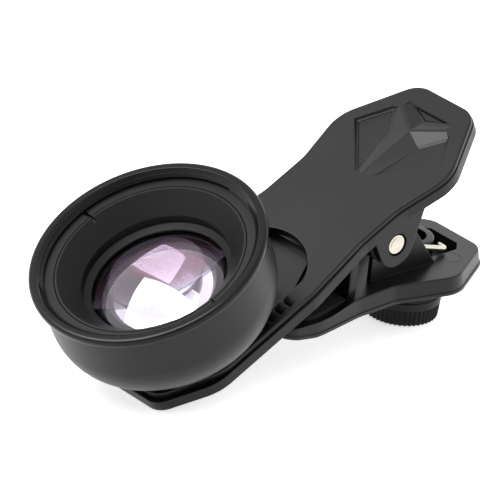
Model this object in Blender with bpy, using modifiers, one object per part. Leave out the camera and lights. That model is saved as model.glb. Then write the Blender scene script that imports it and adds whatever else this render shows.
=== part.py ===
"""A clip-on macro lens for a phone: a sprung two-arm clip, its clamp screw and a turned lens.

Frames: the lower arm lies level, as the clip rests on its clamp knob and its front edge.
The upper arm is drawn flat (its top face at z = 0, the lens axis at x = 0, x to the rear
grip) and then hung on the hinge pin at the closed angle. The lower arm is drawn about the pin.
"""

import math

import bmesh
import bpy
from mathutils import Matrix, Vector

MM = 0.001
FIT = 0.3 * MM                    # clearance between pieces that seat on each other
MERGE = 0.00001
MITRE_LIMIT = 0.5                 # sharpest corner at which an inset is still exact

# Lens: filter thread M37, turned barrel with a bowl-shaped back
FILTER_RADIUS = 18.5 * MM
RIM_WALL = 2.0 * MM
RIM_TOP = 19.33 * MM
RIM_HEIGHT = 1.63 * MM
RIM_CHAMFER = 0.45 * MM
RIM_BEVEL = 0.6 * MM              # chamfer that leads into the filter thread
COLLAR_WALL = 0.6 * MM
BARREL_WALL = 1.0 * MM
BASE_WALL = 1.0 * MM
BOWL_STEPS = 8
CONE_TOP_INSET = 2.45 * MM        # from the filter thread in to the cone's top
CONE_FOOT_MARGIN = 0.65 * MM      # from the front glass out to the cone's foot
CONE_WALL = 1.0 * MM
CONE_DEPTH = 3.3 * MM
CONE_LIP = 0.4 * MM
CONE_LIP_RISE = 0.9 * MM
RING_DROP = 1.83 * MM             # from the rim down to the retaining ring
RING_THICKNESS = 0.8 * MM
NOTCH_ANGLE = math.radians(87.0)
NOTCH_WIDTH = 0.6 * MM
NOTCH_DEPTH = 0.7 * MM
NOTCH_REACH = 1.5 * MM            # how far the notches run on into the cone
GLASS_RADIUS = 12.2 * MM
GLASS_SEAT = 1.3 * MM             # how far the cone's lip covers the glass
GLASS_APEX = 14.5 * MM
GLASS_CURVE = 24.0 * MM
GLASS_BACK_CURVE = 72.0 * MM
MIDDLE_GLASS_CURVE = 192.0 * MM
FRONT_GLASS_EDGE = 3.0 * MM
MIDDLE_GLASS_EDGE = 1.4 * MM
SPACER_HEIGHT = 1.3 * MM
REAR_GLASS_RADIUS = 8.0 * MM
REAR_GLASS_EDGE = 1.8 * MM
SPIGOT_WALL = 1.4 * MM
SPIGOT_REACH = 2.6 * MM           # how far the threaded spigot goes below the arm's top

# Lens carriage
CARRIAGE_DROP = 2.1 * MM
CARRIAGE_THICKNESS = 1.0 * MM
CARRIAGE_REAR = 24.8 * MM
CARRIAGE_TIP_HALF = 5.5 * MM
CARRIAGE_TIP_LENGTH = 5.5 * MM
CARRIAGE_TIP_CORNER = 0.6 * MM
CARRIAGE_NECK_HALF = 7.9 * MM
CARRIAGE_NECK_LENGTH = 4.0 * MM
CARRIAGE_NECK_CORNER = 1.0 * MM
CARRIAGE_OVERLAP = 1.0 * MM        # how far the carriage runs under each rail
CARRIAGE_CORNER = 1.5 * MM
CARRIAGE_FRONT = -11.0 * MM
MOUNT_RING_WALL = 1.4 * MM
MOUNT_NECK_WALL = 0.6 * MM

# Upper arm, seen from above: places along it, half widths and corner radii
ARM_FRONT = -13.4 * MM
ARM_FRONT_HALF = 8.2 * MM
ARM_FRONT_CORNER = 3.8 * MM
ARM_SHOULDER = -4.2 * MM
ARM_SHOULDER_CORNER = 9.0 * MM
RAIL_WIDTH = 3.8 * MM             # from the slot out to the arm's foot
ARM_TAPER_START = 19.0 * MM
ARM_TAPER_CORNER = 16.0 * MM
ARM_WAIST_START = 31.5 * MM
ARM_WAIST_HALF = 12.2 * MM
ARM_WAIST_CORNER = 11.0 * MM
ARM_WAIST_END = 40.5 * MM
GRIP_FLARE = 10.5 * MM            # from the waist's end to the grip's widest place
GRIP_HALF = 14.5 * MM
GRIP_CORNER = 8.0 * MM
GRIP_TAIL = 13.2 * MM             # from the grip's widest place to its rear edge
ARM_REAR_HALF = 7.0 * MM
ARM_REAR_CORNER = 4.5 * MM
ARM_DEPTH = 3.1 * MM
ARM_PLATE = 1.8 * MM
ARM_WALL = 1.8 * MM
ARM_FRONT_DRAFT = 0.8 * MM
ARM_SHOULDER_DRAFT = 2.0 * MM
ARM_DRAFT = 0.42 * MM
ARM_WAIST_DRAFT = 0.15 * MM
STEP_DROP = 0.9 * MM
STEP_OUT = 0.2 * MM
EDGE_FILLET = 0.35 * MM
EDGE_MIDDLE = 0.1 * MM             # the fillet's middle point, in from both faces
SLOT_GAP = 0.5 * MM               # between the mount ring and the slot's sides
SLOT_REAR_WIDEN = 1.1 * MM
SLOT_REAR = 26.5 * MM
SLOT_FRONT = -10.8 * MM

# Serrated rails beside the slot
TOOTH_COUNT = 9
TOOTH_PITCH = 2.15 * MM
TOOTH_LAST = 14.6 * MM
TOOTH_WIDTH = 0.55 * MM
TOOTH_DEPTH = 0.8 * MM
TOOTH_SLOPE_DEPTH = 0.3 * MM
TOOTH_STRIP = 0.35 * MM           # whole strip between the slot and the teeth
TOOTH_RIM = 1.3 * MM              # from the teeth out to the arm's foot

# Faceted thumb grip, measured from the grip's widest place
RELIEF_DEPTH = 0.55 * MM
RIDGE_LAND = 0.02 * MM
RIDGE_MEET = 3.8 * MM
RELIEF_FRONT_REACH = 7.2 * MM
RELIEF_CORNER = (0.2 * MM, 10.4 * MM)
RELIEF_SIDE = (6.0 * MM, 6.9 * MM)
RELIEF_FLOOR = (2.1 * MM, 3.9 * MM)
RELIEF_TIP_HALF = 1.6 * MM
RELIEF_RIDGE_SHIFT = 1.0 * MM     # from a side panel's corner to the ridge's end
RELIEF_REAR = (9.5 * MM, 4.9 * MM)
RELIEF_REAR_FLOOR = 7.4 * MM
RELIEF_REAR_SHIFT = 1.4 * MM
RELIEF_REAR_TIP = 0.4 * MM

# Hinge
CLOSED_ANGLE = math.radians(28.0)
PIN_X = 38.12 * MM
PIN_DROP = 6.58 * MM
PIN_RADIUS = 1.75 * MM
PIN_END_GAP = 0.15 * MM
PIN_DISH = 0.35 * MM
PIN_RIM = 0.35 * MM
PIN_BOWL = 0.8 * MM
PIN_BOWL_DEPTH = 0.25 * MM
PIN_CHAMFER = 0.1 * MM
EAR_INNER = 10.0 * MM
EAR_OUTER = 12.0 * MM
EAR_FRONT = 3.75 * MM
EAR_BELOW = 3.65 * MM
EAR_CORNER = 3.4 * MM
EAR_TOE_X = 1.3 * MM
EAR_TOE_CORNER = 2.5 * MM
EAR_REAR = 8.5 * MM

# Thrust post that the clamp screw pushes on
POST_RADIUS = 2.6 * MM
POST_LENGTH = 6.5 * MM

# Lower arm, seen from above, about the pin: places, half widths and corner radii
JAW_TIP = -25.0 * MM
JAW_HALF = 13.1 * MM
JAW_CORNER = 3.2 * MM
JAW_SHOULDER = -17.0 * MM
JAW_SHOULDER_CORNER = 14.0 * MM
LOWER_NECK = -6.5 * MM
LOWER_NECK_HALF = 11.1 * MM
LOWER_NECK_CORNER = 20.0 * MM
LOWER_WAIST = 2.3 * MM
LOWER_WAIST_HALF = 10.5 * MM
LOWER_WAIST_CORNER = 6.0 * MM
HEEL_X = 14.6 * MM
HEEL_HALF = 13.3 * MM
HEEL_CORNER = 6.0 * MM
LOWER_REAR = 26.3 * MM
LOWER_REAR_HALF = 6.4 * MM
LOWER_REAR_CORNER = 3.5 * MM
LOWER_TOP = -9.0 * MM
LOWER_BOTTOM = -12.2 * MM
LOWER_PLATE = 1.6 * MM
LOWER_WALL = 1.6 * MM
JAW_WALL = 1.8 * MM
LOWER_DRAFT = 0.35 * MM
LIP_HEIGHT = 0.7 * MM
LIP_OUT = 0.22 * MM
JAW_DROP = 0.7 * MM               # how far the jaw's top lies below the rear part's top
RAMP_START = -14.0 * MM
RAMP_END = -7.2 * MM
RAMP_CORNER = 12.0 * MM
JAW_PLATE = 1.0 * MM
TIP_RISE = 1.0 * MM
TIP_RISE_LENGTH = 6.0 * MM
PAD_THICKNESS = 1.0 * MM
PAD_POCKET = 0.7 * MM
PAD_INSET = 1.3 * MM
PAD_FRONT_INSET = 4.4 * MM
PAD_FRONT_CORNER = 2.6 * MM
PAD_REAR_CORNER = 0.6 * MM
STOP_WALL_X = -6.95 * MM
STOP_WALL_THICKNESS = 1.5 * MM
STOP_WALL_HALF = 9.5 * MM
STOP_WALL_TOP = -2.5 * MM

# Cheeks that hold the pin
CHEEK_INNER = 5.9 * MM
CHEEK_WALL = 1.0 * MM
CHEEK_FRONT = -0.3 * MM
CHEEK_FRONT_CORNER = 1.2 * MM
CHEEK_TOP_CORNER = 3.0 * MM
CHEEK_REAR_TOP = 10.4 * MM
CHEEK_REAR_DROP = 3.2 * MM
CHEEK_REAR_CORNER = 2.0 * MM
CHEEK_REAR_FOOT = 15.3 * MM
HUB_RADIUS = 4.0 * MM

# Window in the lower arm and the clamp screw
WINDOW_HALF = 5.1 * MM
WINDOW_FRONT = 14.6 * MM
WINDOW_REAR = 23.4 * MM
WINDOW_CHAMFER = 1.8 * MM
SCREW_X = 14.8 * MM
BOSS_RADIUS = 4.3 * MM
BOSS_BORE = 3.0 * MM
BOSS_TOP = -6.6 * MM
INSERT_WALL = 0.65 * MM
INSERT_LENGTH = 2.0 * MM
FOOT_HEIGHT = 1.8 * MM
FOOT_DROP = 1.2 * MM
FOOT_CAP = 0.8 * MM
KNOB_RADIUS = 6.5 * MM
KNOB_TOP_RADIUS = 6.9 * MM
KNOB_TAPER = 0.15 * MM
KNOB_HEIGHT = 4.55 * MM
KNOB_CLEARANCE = 4.6 * MM         # between the knob and the lower arm: the screw's travel
KNOB_GRIP_HEIGHT = 3.1 * MM
KNOB_GROOVES = 46
KNOB_GROOVE_WIDTH = 0.42 * MM
KNOB_GROOVE_DEPTH = 0.3 * MM
SCREW_SEAT = 2.7 * MM             # how deep the screw's shank sits in the knob

# Torsion spring
WIRE_RADIUS = 0.5 * MM
COIL_RADIUS = 2.6 * MM
COIL_TURNS = 9
COIL_STEPS = 10
REST_LEG = 18.8 * MM
REST_LEG_BEND = 1.7 * MM
PUSH_LEG = 16.0 * MM

TURN_STEPS = 40
SMALL_STEPS = 24
ARC_STEPS = 4

# Finishes: base colour, roughness, metallic
BLACK_PLASTIC = ((0.022, 0.022, 0.024), 0.5)
BLACK_METAL = ((0.02, 0.02, 0.022), 0.4, 0.6)
STEEL = ((0.72, 0.71, 0.69), 0.2, 1.0)
BRASS = ((0.65, 0.46, 0.2), 0.3, 1.0)
RUBBER = ((0.02, 0.02, 0.02), 0.8)
GLASS = ((0.35, 0.36, 0.42), 0.05)

# Radii and heights that follow from the sizes above
RIM_RADIUS = FILTER_RADIUS + RIM_WALL
BARREL_RADIUS = FILTER_RADIUS + BARREL_WALL
CONE_TOP_RADIUS = FILTER_RADIUS - CONE_TOP_INSET
CONE_FOOT_RADIUS = GLASS_RADIUS + CONE_FOOT_MARGIN
GLASS_WINDOW = GLASS_RADIUS - GLASS_SEAT
GRIP_WIDEST = ARM_WAIST_END + GRIP_FLARE
ARM_REAR = GRIP_WIDEST + GRIP_TAIL
BARREL_SHOULDER = RIM_TOP - RIM_HEIGHT - FIT
RING_TOP = RIM_TOP - RING_DROP
RING_BOTTOM = RING_TOP - RING_THICKNESS
GLASS_SAG = GLASS_CURVE - math.sqrt(GLASS_CURVE ** 2 - GLASS_RADIUS ** 2)
GLASS_EDGE_TOP = GLASS_APEX - GLASS_SAG
GLASS_EDGE_FOOT = GLASS_EDGE_TOP - FRONT_GLASS_EDGE
SPACER_TOP = GLASS_EDGE_FOOT - FIT
SPACER_FOOT = SPACER_TOP - SPACER_HEIGHT
MIDDLE_TOP = SPACER_FOOT - FIT
MIDDLE_FOOT = MIDDLE_TOP - MIDDLE_GLASS_EDGE
CELL_FLOOR = MIDDLE_FOOT - FIT
REAR_BORE = REAR_GLASS_RADIUS + FIT
REAR_GLASS_TOP = CELL_FLOOR - FIT
REAR_GLASS_FOOT = REAR_GLASS_TOP - REAR_GLASS_EDGE
BASE_RADIUS = REAR_BORE + BASE_WALL
BOWL_RADIUS = BARREL_RADIUS - BASE_RADIUS
SPIGOT_RADIUS = REAR_GLASS_RADIUS
MOUNT_BORE = SPIGOT_RADIUS + FIT
MOUNT_RADIUS = MOUNT_BORE + MOUNT_RING_WALL
SLOT_HALF = MOUNT_RADIUS + SLOT_GAP
SLOT_REAR_RADIUS = SLOT_HALF + SLOT_REAR_WIDEN
CARRIAGE_HALF = SLOT_HALF + CARRIAGE_OVERLAP
ARM_HALF = SLOT_HALF + RAIL_WIDTH
TOOTH_INNER = SLOT_REAR_RADIUS + TOOTH_STRIP
TOOTH_OUTER = ARM_HALF - TOOTH_RIM
KNOB_TOP = LOWER_BOTTOM - KNOB_CLEARANCE
KNOB_BOTTOM = KNOB_TOP - KNOB_HEIGHT
SCREW_RADIUS = BOSS_BORE - FIT - INSERT_WALL - FIT
JAW_TOP = LOWER_TOP - JAW_DROP
PAD_FOOT = JAW_TOP - PAD_POCKET + FIT
HOLE_RADIUS = PIN_RADIUS + FIT


def tilt(x, z):
    """Turn a point of the flat upper arm, taken about the pin, to its closed angle."""
    return (x * math.cos(CLOSED_ANGLE) - z * math.sin(CLOSED_ANGLE),
            x * math.sin(CLOSED_ANGLE) + z * math.cos(CLOSED_ANGLE))


# The clip stands on the knob, or on the upper arm's front edge if that reaches lower
FRONT_EDGE = tilt(ARM_FRONT - PIN_X, PIN_DROP - ARM_DEPTH)
RIM_LOW_POINT = tilt(-RIM_RADIUS - PIN_X, RIM_TOP - RIM_CHAMFER + PIN_DROP)
FLOOR = min(KNOB_BOTTOM, FRONT_EDGE[1])
PIN_PLACE = Vector((-(RIM_LOW_POINT[0] + LOWER_REAR + LOWER_DRAFT + LIP_OUT) / 2, 0, -FLOOR))


def clear_scene():
    """Remove what the file holds, so that the model starts empty."""
    for old in list(bpy.data.objects):
        bpy.data.objects.remove(old, do_unlink=True)


def new_collection(name):
    collection = bpy.data.collections.new(name)
    bpy.context.scene.collection.children.link(collection)
    return collection


def material(name, colour, roughness, metallic=0.0):
    """A Principled material with the piece's plain colour."""
    made = bpy.data.materials.new(name)
    made.use_nodes = True
    shader = made.node_tree.nodes["Principled BSDF"]
    shader.inputs["Base Color"].default_value = (*colour, 1.0)
    shader.inputs["Roughness"].default_value = roughness
    shader.inputs["Metallic"].default_value = metallic
    made.diffuse_color = (*colour, 1.0)
    return made


def frame_empty(name, place, parent=None, turn=0.0):
    """An empty on a joint's axis, which carries the pieces that move with it."""
    empty = bpy.data.objects.new(name, None)
    empty.empty_display_size = 5 * MM
    PARTS.objects.link(empty)
    empty.parent = parent
    empty.location = place
    empty.rotation_euler = (0.0, turn, 0.0)
    return empty


def piece(name, mesh, parent, finish):
    """A named piece of the clip, hung on its frame."""
    made = bpy.data.objects.new(name, mesh)
    PARTS.objects.link(made)
    made.parent = parent
    mesh.materials.append(material(name, *finish))
    mesh.shade_smooth()
    mesh.set_sharp_from_angle(angle=math.radians(30))
    return made


def cutter(name, mesh, parent):
    """A helper solid that is cut from a piece or joined to it."""
    made = bpy.data.objects.new(name, mesh)
    CUTTERS.objects.link(made)
    made.parent = parent
    made.hide_render = True
    made.display_type = "WIRE"
    return made


def combine(target, helper, operation):
    """Cut a helper from a piece, or join it, with an exact Boolean."""
    step = target.modifiers.new(helper.name, "BOOLEAN")
    step.solver = "EXACT"
    step.operation = operation
    step.object = helper


def cut(target, name, mesh):
    combine(target, cutter(name, mesh, target.parent), "DIFFERENCE")


def join(target, name, mesh):
    combine(target, cutter(name, mesh, target.parent), "UNION")


def mesh_from(bm, name):
    """Close a bmesh into a mesh whose faces point outward."""
    bmesh.ops.remove_doubles(bm, verts=bm.verts, dist=MERGE)
    bmesh.ops.recalc_face_normals(bm, faces=bm.faces)
    mesh = bpy.data.meshes.new(name)
    bm.to_mesh(mesh)
    bm.free()
    return mesh


def rounded(corners):
    """The points of a closed outline whose corners (x, y, radius) are rounded by arcs."""
    points = []
    for index, (x, y, radius) in enumerate(corners):
        here = Vector((x, y))
        before = (Vector(corners[index - 1][:2]) - here).normalized()
        after = (Vector(corners[(index + 1) % len(corners)][:2]) - here).normalized()
        half = before.angle(after) / 2
        if radius == 0:
            points.append(here)
            continue
        centre = here + (before + after).normalized() * radius / math.sin(half)
        reach = radius / math.tan(half)
        start = here + before * reach - centre
        sweep = (here + after * reach - centre).angle_signed(start)
        for step in range(ARC_STEPS + 1):
            points.append(centre + Matrix.Rotation(sweep * step / ARC_STEPS, 2) @ start)
    return points


def both_sides(half):
    """Mirror the corners of one side, given from front to rear, into a closed outline."""
    return half + [(x, -y, radius) for x, y, radius in reversed(half)]


def inset(points, distance):
    """Move each point of a closed outline inward along the mean of its two edge normals."""
    moved = []
    for index, here in enumerate(points):
        along_in = (here - points[index - 1]).normalized()
        along_out = (points[(index + 1) % len(points)] - here).normalized()
        inward = Vector((along_in.y + along_out.y, -along_in.x - along_out.x)).normalized()
        widen = max(inward.dot(Vector((along_in.y, -along_in.x))), MITRE_LIMIT)
        moved.append(here + inward * distance / widen)
    return moved


def loft(name, rings):
    """A solid through closed rings of equal point counts, capped at both ends.

    Each ring is (outline points, height), where the height is a number or a function of x.
    """
    bm = bmesh.new()
    loops = []
    for points, height in rings:
        level = height if callable(height) else lambda x, fixed=height: fixed
        loops.append([bm.verts.new((p.x, p.y, level(p.x))) for p in points])
    for low, high in zip(loops, loops[1:]):
        for index in range(len(low)):
            after = (index + 1) % len(low)
            bm.faces.new((low[index], low[after], high[after], high[index]))
    bm.faces.new(loops[0])
    bm.faces.new(loops[-1])
    return mesh_from(bm, name)


def flat(name, points, low, high):
    """A flat outline as a filled 2D curve, extruded between two heights."""
    curve = bpy.data.curves.new(name, "CURVE")
    curve.dimensions = "2D"
    curve.fill_mode = "BOTH"
    curve.extrude = (high - low) / 2
    spline = curve.splines.new("POLY")
    spline.points.add(len(points) - 1)
    for point, place in zip(spline.points, points):
        point.co = (place[0], place[1], 0.0, 1.0)
    spline.use_cyclic_u = True
    mesh = curve_to_mesh(name, curve)
    mesh.transform(Matrix.Translation((0, 0, (low + high) / 2)))
    return mesh


def curve_to_mesh(name, curve):
    """The closed mesh of a curve, with its caps welded."""
    holder = bpy.data.objects.new(name, curve)
    bpy.context.scene.collection.objects.link(holder)
    bpy.context.view_layer.update()
    graph = bpy.context.evaluated_depsgraph_get()
    drawn = bpy.data.meshes.new_from_object(holder.evaluated_get(graph))
    bpy.data.objects.remove(holder, do_unlink=True)
    bm = bmesh.new()
    bm.from_mesh(drawn)
    bpy.data.meshes.remove(drawn)
    return mesh_from(bm, name)


def side_on(name, points, low, high):
    """An outline in x and z, extruded along y between two places."""
    mesh = flat(name, points, -high, -low)
    mesh.transform(Matrix.Rotation(math.pi / 2, 4, "X"))
    return mesh


def box(name, low, high):
    """A box between two corners."""
    bm = bmesh.new()
    bmesh.ops.create_cube(bm, size=1.0)
    size = [top - bottom for bottom, top in zip(low, high)]
    centre = [(top + bottom) / 2 for bottom, top in zip(low, high)]
    bmesh.ops.scale(bm, vec=size, verts=bm.verts)
    bmesh.ops.translate(bm, vec=centre, verts=bm.verts)
    return mesh_from(bm, name)


def rod(name, radius, low, high, x=0.0, steps=SMALL_STEPS):
    """An upright cylinder between two heights."""
    bm = bmesh.new()
    bmesh.ops.create_cone(bm, cap_ends=True, segments=steps, radius1=radius, radius2=radius,
                          depth=high - low)
    bmesh.ops.translate(bm, vec=(x, 0, (low + high) / 2), verts=bm.verts)
    return mesh_from(bm, name)


def cross_rod(name, radius, low, high, x=0.0, z=0.0):
    """A cylinder along y between two places."""
    mesh = rod(name, radius, -high, -low)
    mesh.transform(Matrix.Translation((x, 0, z)) @ Matrix.Rotation(math.pi / 2, 4, "X"))
    return mesh


def profile_mesh(name, points, closed):
    """The edges of a turned piece's section, at +X."""
    bm = bmesh.new()
    corners = [bm.verts.new((radius, 0, height)) for radius, height in points]
    for first, second in zip(corners, corners[1:]):
        bm.edges.new((first, second))
    if closed:
        bm.edges.new((corners[-1], corners[0]))
    mesh = bpy.data.meshes.new(name)
    bm.to_mesh(mesh)
    bm.free()
    return mesh


def turned(name, points, parent, finish, closed=True, steps=TURN_STEPS):
    """A turned piece: its section runs down the outer side and back up the inner one."""
    made = piece(name, profile_mesh(name, points, closed), parent, finish)
    screw = made.modifiers.new("turn", "SCREW")
    screw.axis = "Z"
    screw.angle = math.tau
    screw.steps = steps
    screw.render_steps = steps
    screw.use_merge_vertices = True
    screw.merge_threshold = MERGE
    screw.use_smooth_shade = True
    return made


def arc(centre, radius, start, end, steps):
    """Points (radius, height) on a round stretch of a section, angles in degrees."""
    points = []
    for step in range(steps + 1):
        angle = math.radians(start + (end - start) * step / steps)
        points.append((centre[0] + radius * math.cos(angle), centre[1] + radius * math.sin(angle)))
    return points


def dome(apex, curve, reach, steps, sign=1):
    """Points of a spherical glass face from the axis out; sign -1 makes it face down."""
    points = []
    for step in range(steps + 1):
        radius = reach * step / steps
        points.append((radius, apex - sign * (curve - math.sqrt(curve ** 2 - radius ** 2))))
    return points


def upper_outline(front_draft=0.0, shoulder_draft=0.0, draft=0.0, waist_draft=0.0):
    """The upper arm's outline, drawn in from its foot by the drafts of its side walls."""
    half = [
        (ARM_FRONT + front_draft, ARM_FRONT_HALF - draft, ARM_FRONT_CORNER),
        (ARM_SHOULDER + shoulder_draft, ARM_HALF - draft, ARM_SHOULDER_CORNER),
        (ARM_TAPER_START, ARM_HALF - draft, ARM_TAPER_CORNER),
        (ARM_WAIST_START, ARM_WAIST_HALF - waist_draft, ARM_WAIST_CORNER),
        (ARM_WAIST_END, ARM_WAIST_HALF - waist_draft, ARM_WAIST_CORNER),
        (GRIP_WIDEST, GRIP_HALF - waist_draft, GRIP_CORNER),
        (ARM_REAR - waist_draft, ARM_REAR_HALF - waist_draft / 2, ARM_REAR_CORNER),
    ]
    return rounded(both_sides(half))


def slot_outline():
    """The long slot: round at both ends, wider at its rear."""
    rear_centre = SLOT_REAR - SLOT_REAR_RADIUS
    meet = math.degrees(math.asin(SLOT_HALF / SLOT_REAR_RADIUS))
    rear = arc((rear_centre, 0), SLOT_REAR_RADIUS, -meet, meet, 5 * ARC_STEPS)
    front = arc((SLOT_FRONT + SLOT_HALF, 0), SLOT_HALF, 90, 270, 6 * ARC_STEPS)
    return rear + front


def tooth_cutters():
    """Sawtooth grooves across both rails, one section swept across each rail per tooth."""
    bm = bmesh.new()
    for count in range(TOOTH_COUNT):
        x = TOOTH_LAST - count * TOOTH_PITCH
        for side in (-1, 1):
            section = [
                (x - TOOTH_WIDTH / 2, TOOTH_DEPTH),
                (x - TOOTH_WIDTH / 2, -TOOTH_DEPTH),
                (x + TOOTH_WIDTH / 2, -TOOTH_DEPTH),
                (x + TOOTH_WIDTH / 2, -TOOTH_SLOPE_DEPTH),
                (x + TOOTH_PITCH - TOOTH_WIDTH, RIDGE_LAND),
                (x + TOOTH_PITCH - TOOTH_WIDTH, TOOTH_DEPTH),
            ]
            ends = sorted((side * TOOTH_INNER, side * TOOTH_OUTER))
            bm.from_mesh(side_on("tooth", section, *ends))
    return mesh_from(bm, "tooth_cutters")


def facet_cutter(name, rim, floor, ridge):
    """A recess with walls at its rim, a level floor and slopes that rise to a ridge.

    The rim's and the ridge's points close the recess's outline, in order; the floor's points
    lie under the rim's and beside the ridge's.
    """
    bm = bmesh.new()
    high = RELIEF_DEPTH
    outline = rim + ridge[::-1]
    top = [bm.verts.new((x, y, high)) for x, y in outline]
    crest = [bm.verts.new((x, y, RIDGE_LAND)) for x, y in ridge]
    rim_foot = [bm.verts.new((x, y, -RELIEF_DEPTH)) for x, y in rim]
    inner = bm.verts.new((*floor, -RELIEF_DEPTH))
    low = rim_foot + crest[::-1]
    for index in range(len(outline)):
        after = (index + 1) % len(outline)
        bm.faces.new((top[index], top[after], low[after], low[index]))
    bm.faces.new(top)
    bm.faces.new((*rim_foot, inner))
    bm.faces.new((rim_foot[0], inner, crest[1], crest[0]))
    bm.faces.new((inner, rim_foot[-1], crest[-1], crest[1]))
    bmesh.ops.triangulate(bm, faces=bm.faces)
    return mesh_from(bm, name)


def make_upper_arm(frame):
    """The moulded upper arm: plate with skirt, slot, rails, faceted grip, ears and post."""
    top = upper_outline(ARM_FRONT_DRAFT, ARM_SHOULDER_DRAFT, ARM_DRAFT, ARM_WAIST_DRAFT)
    foot = upper_outline()
    ledge = upper_outline(ARM_FRONT_DRAFT - STEP_OUT, ARM_SHOULDER_DRAFT - STEP_OUT,
                          ARM_DRAFT - STEP_OUT, ARM_WAIST_DRAFT / 2)
    shell = loft("upper_arm", [
        (inset(top, EDGE_FILLET), 0.0),
        (inset(top, EDGE_MIDDLE), -EDGE_MIDDLE),
        (top, -EDGE_FILLET),
        (top, -STEP_DROP),
        (ledge, -STEP_DROP - RIDGE_LAND),
        (foot, -ARM_DEPTH),
    ])
    arm = piece("upper_arm", shell, frame, BLACK_PLASTIC)
    cut(arm, "upper_hollow", loft("upper_hollow", [
        (inset(foot, ARM_WALL), -ARM_DEPTH - ARM_WALL),
        (inset(foot, ARM_WALL), -ARM_PLATE),
    ]))
    cut(arm, "slot", flat("slot", slot_outline(), -ARM_DEPTH - ARM_WALL, ARM_PLATE))
    ear = rounded([
        (PIN_X - EAR_FRONT, -ARM_PLATE - FIT, 0),
        (PIN_X - EAR_FRONT, -PIN_DROP - EAR_BELOW, EAR_CORNER),
        (PIN_X + EAR_TOE_X, -PIN_DROP - EAR_BELOW, EAR_TOE_CORNER),
        (PIN_X + EAR_REAR, FIT - ARM_DEPTH, 0),
        (PIN_X + EAR_REAR, -ARM_PLATE - FIT, 0),
    ])
    for side, name in ((-1, "near"), (1, "far")):
        ends = sorted((side * EAR_INNER, side * EAR_OUTER))
        join(arm, f"{name}_ear", side_on("ear", ear, *ends))
    post_x = PIN_X + SCREW_X
    post_top = -ARM_PLATE + FIT
    post_foot = -ARM_PLATE - POST_LENGTH
    join(arm, "thrust_post", rod("thrust_post", POST_RADIUS, post_foot, post_top, post_x))
    reach = EAR_OUTER + ARM_WALL
    cut(arm, "pin_hole", cross_rod("pin_hole", HOLE_RADIUS, -reach, reach, PIN_X, -PIN_DROP))
    cut(arm, "teeth", tooth_cutters())
    meet = GRIP_WIDEST + RIDGE_MEET
    front = GRIP_WIDEST - RELIEF_FRONT_REACH
    side_x = GRIP_WIDEST + RELIEF_SIDE[0]
    for side, name in ((-1, "near"), (1, "far")):
        rim = [(front, side * RELIEF_TIP_HALF),
               (GRIP_WIDEST + RELIEF_CORNER[0], side * RELIEF_CORNER[1]),
               (side_x, side * RELIEF_SIDE[1])]
        ridge = [(front, side * RIDGE_LAND), (meet, side * RIDGE_LAND),
                 (side_x + RELIEF_RIDGE_SHIFT, side * (RELIEF_SIDE[1] - RELIEF_RIDGE_SHIFT))]
        floor = (GRIP_WIDEST + RELIEF_FLOOR[0], side * RELIEF_FLOOR[1])
        cut(arm, f"{name}_facet", facet_cutter("facet", rim, floor, ridge))
    rear_x = GRIP_WIDEST + RELIEF_REAR[0]
    rim = [(rear_x, -RELIEF_REAR[1]), (rear_x, RELIEF_REAR[1])]
    ridge_end = side_x + RELIEF_REAR_SHIFT
    ridge_half = RELIEF_SIDE[1] - RELIEF_REAR_SHIFT
    ridge = [(ridge_end, -ridge_half), (meet + RELIEF_REAR_TIP, 0.0), (ridge_end, ridge_half)]
    floor = (GRIP_WIDEST + RELIEF_REAR_FLOOR, 0.0)
    cut(arm, "rear_facet", facet_cutter("facet", rim, floor, ridge))
    return arm


def make_carriage(frame):
    """The plate that slides under the slot, and the threaded ring it carries."""
    neck_x = CARRIAGE_REAR - CARRIAGE_TIP_LENGTH
    outline = rounded(both_sides([
        (CARRIAGE_FRONT, ARM_FRONT_HALF - ARM_WALL, CARRIAGE_CORNER),
        (ARM_SHOULDER, CARRIAGE_HALF, CARRIAGE_CORNER),
        (neck_x - CARRIAGE_NECK_LENGTH, CARRIAGE_HALF, CARRIAGE_CORNER),
        (neck_x, CARRIAGE_NECK_HALF, CARRIAGE_NECK_CORNER),
        (CARRIAGE_REAR, CARRIAGE_TIP_HALF, CARRIAGE_TIP_CORNER),
    ]))
    foot = -CARRIAGE_DROP - CARRIAGE_THICKNESS
    plate = piece("lens_carriage", flat("lens_carriage", outline, foot, -CARRIAGE_DROP), frame,
                  BLACK_PLASTIC)
    neck_radius = MOUNT_BORE + MOUNT_NECK_WALL
    seat = rod("ring_seat", neck_radius + FIT, foot - MM, MM, steps=TURN_STEPS)
    cut(plate, "ring_seat", seat)
    shoulder = FIT - CARRIAGE_DROP
    turned("mount_ring", [
        (MOUNT_BORE, 0.0),
        (MOUNT_RADIUS, 0.0),
        (MOUNT_RADIUS, shoulder),
        (neck_radius, shoulder),
        (neck_radius, foot),
        (MOUNT_BORE, foot),
    ], frame, BLACK_METAL)


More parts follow.
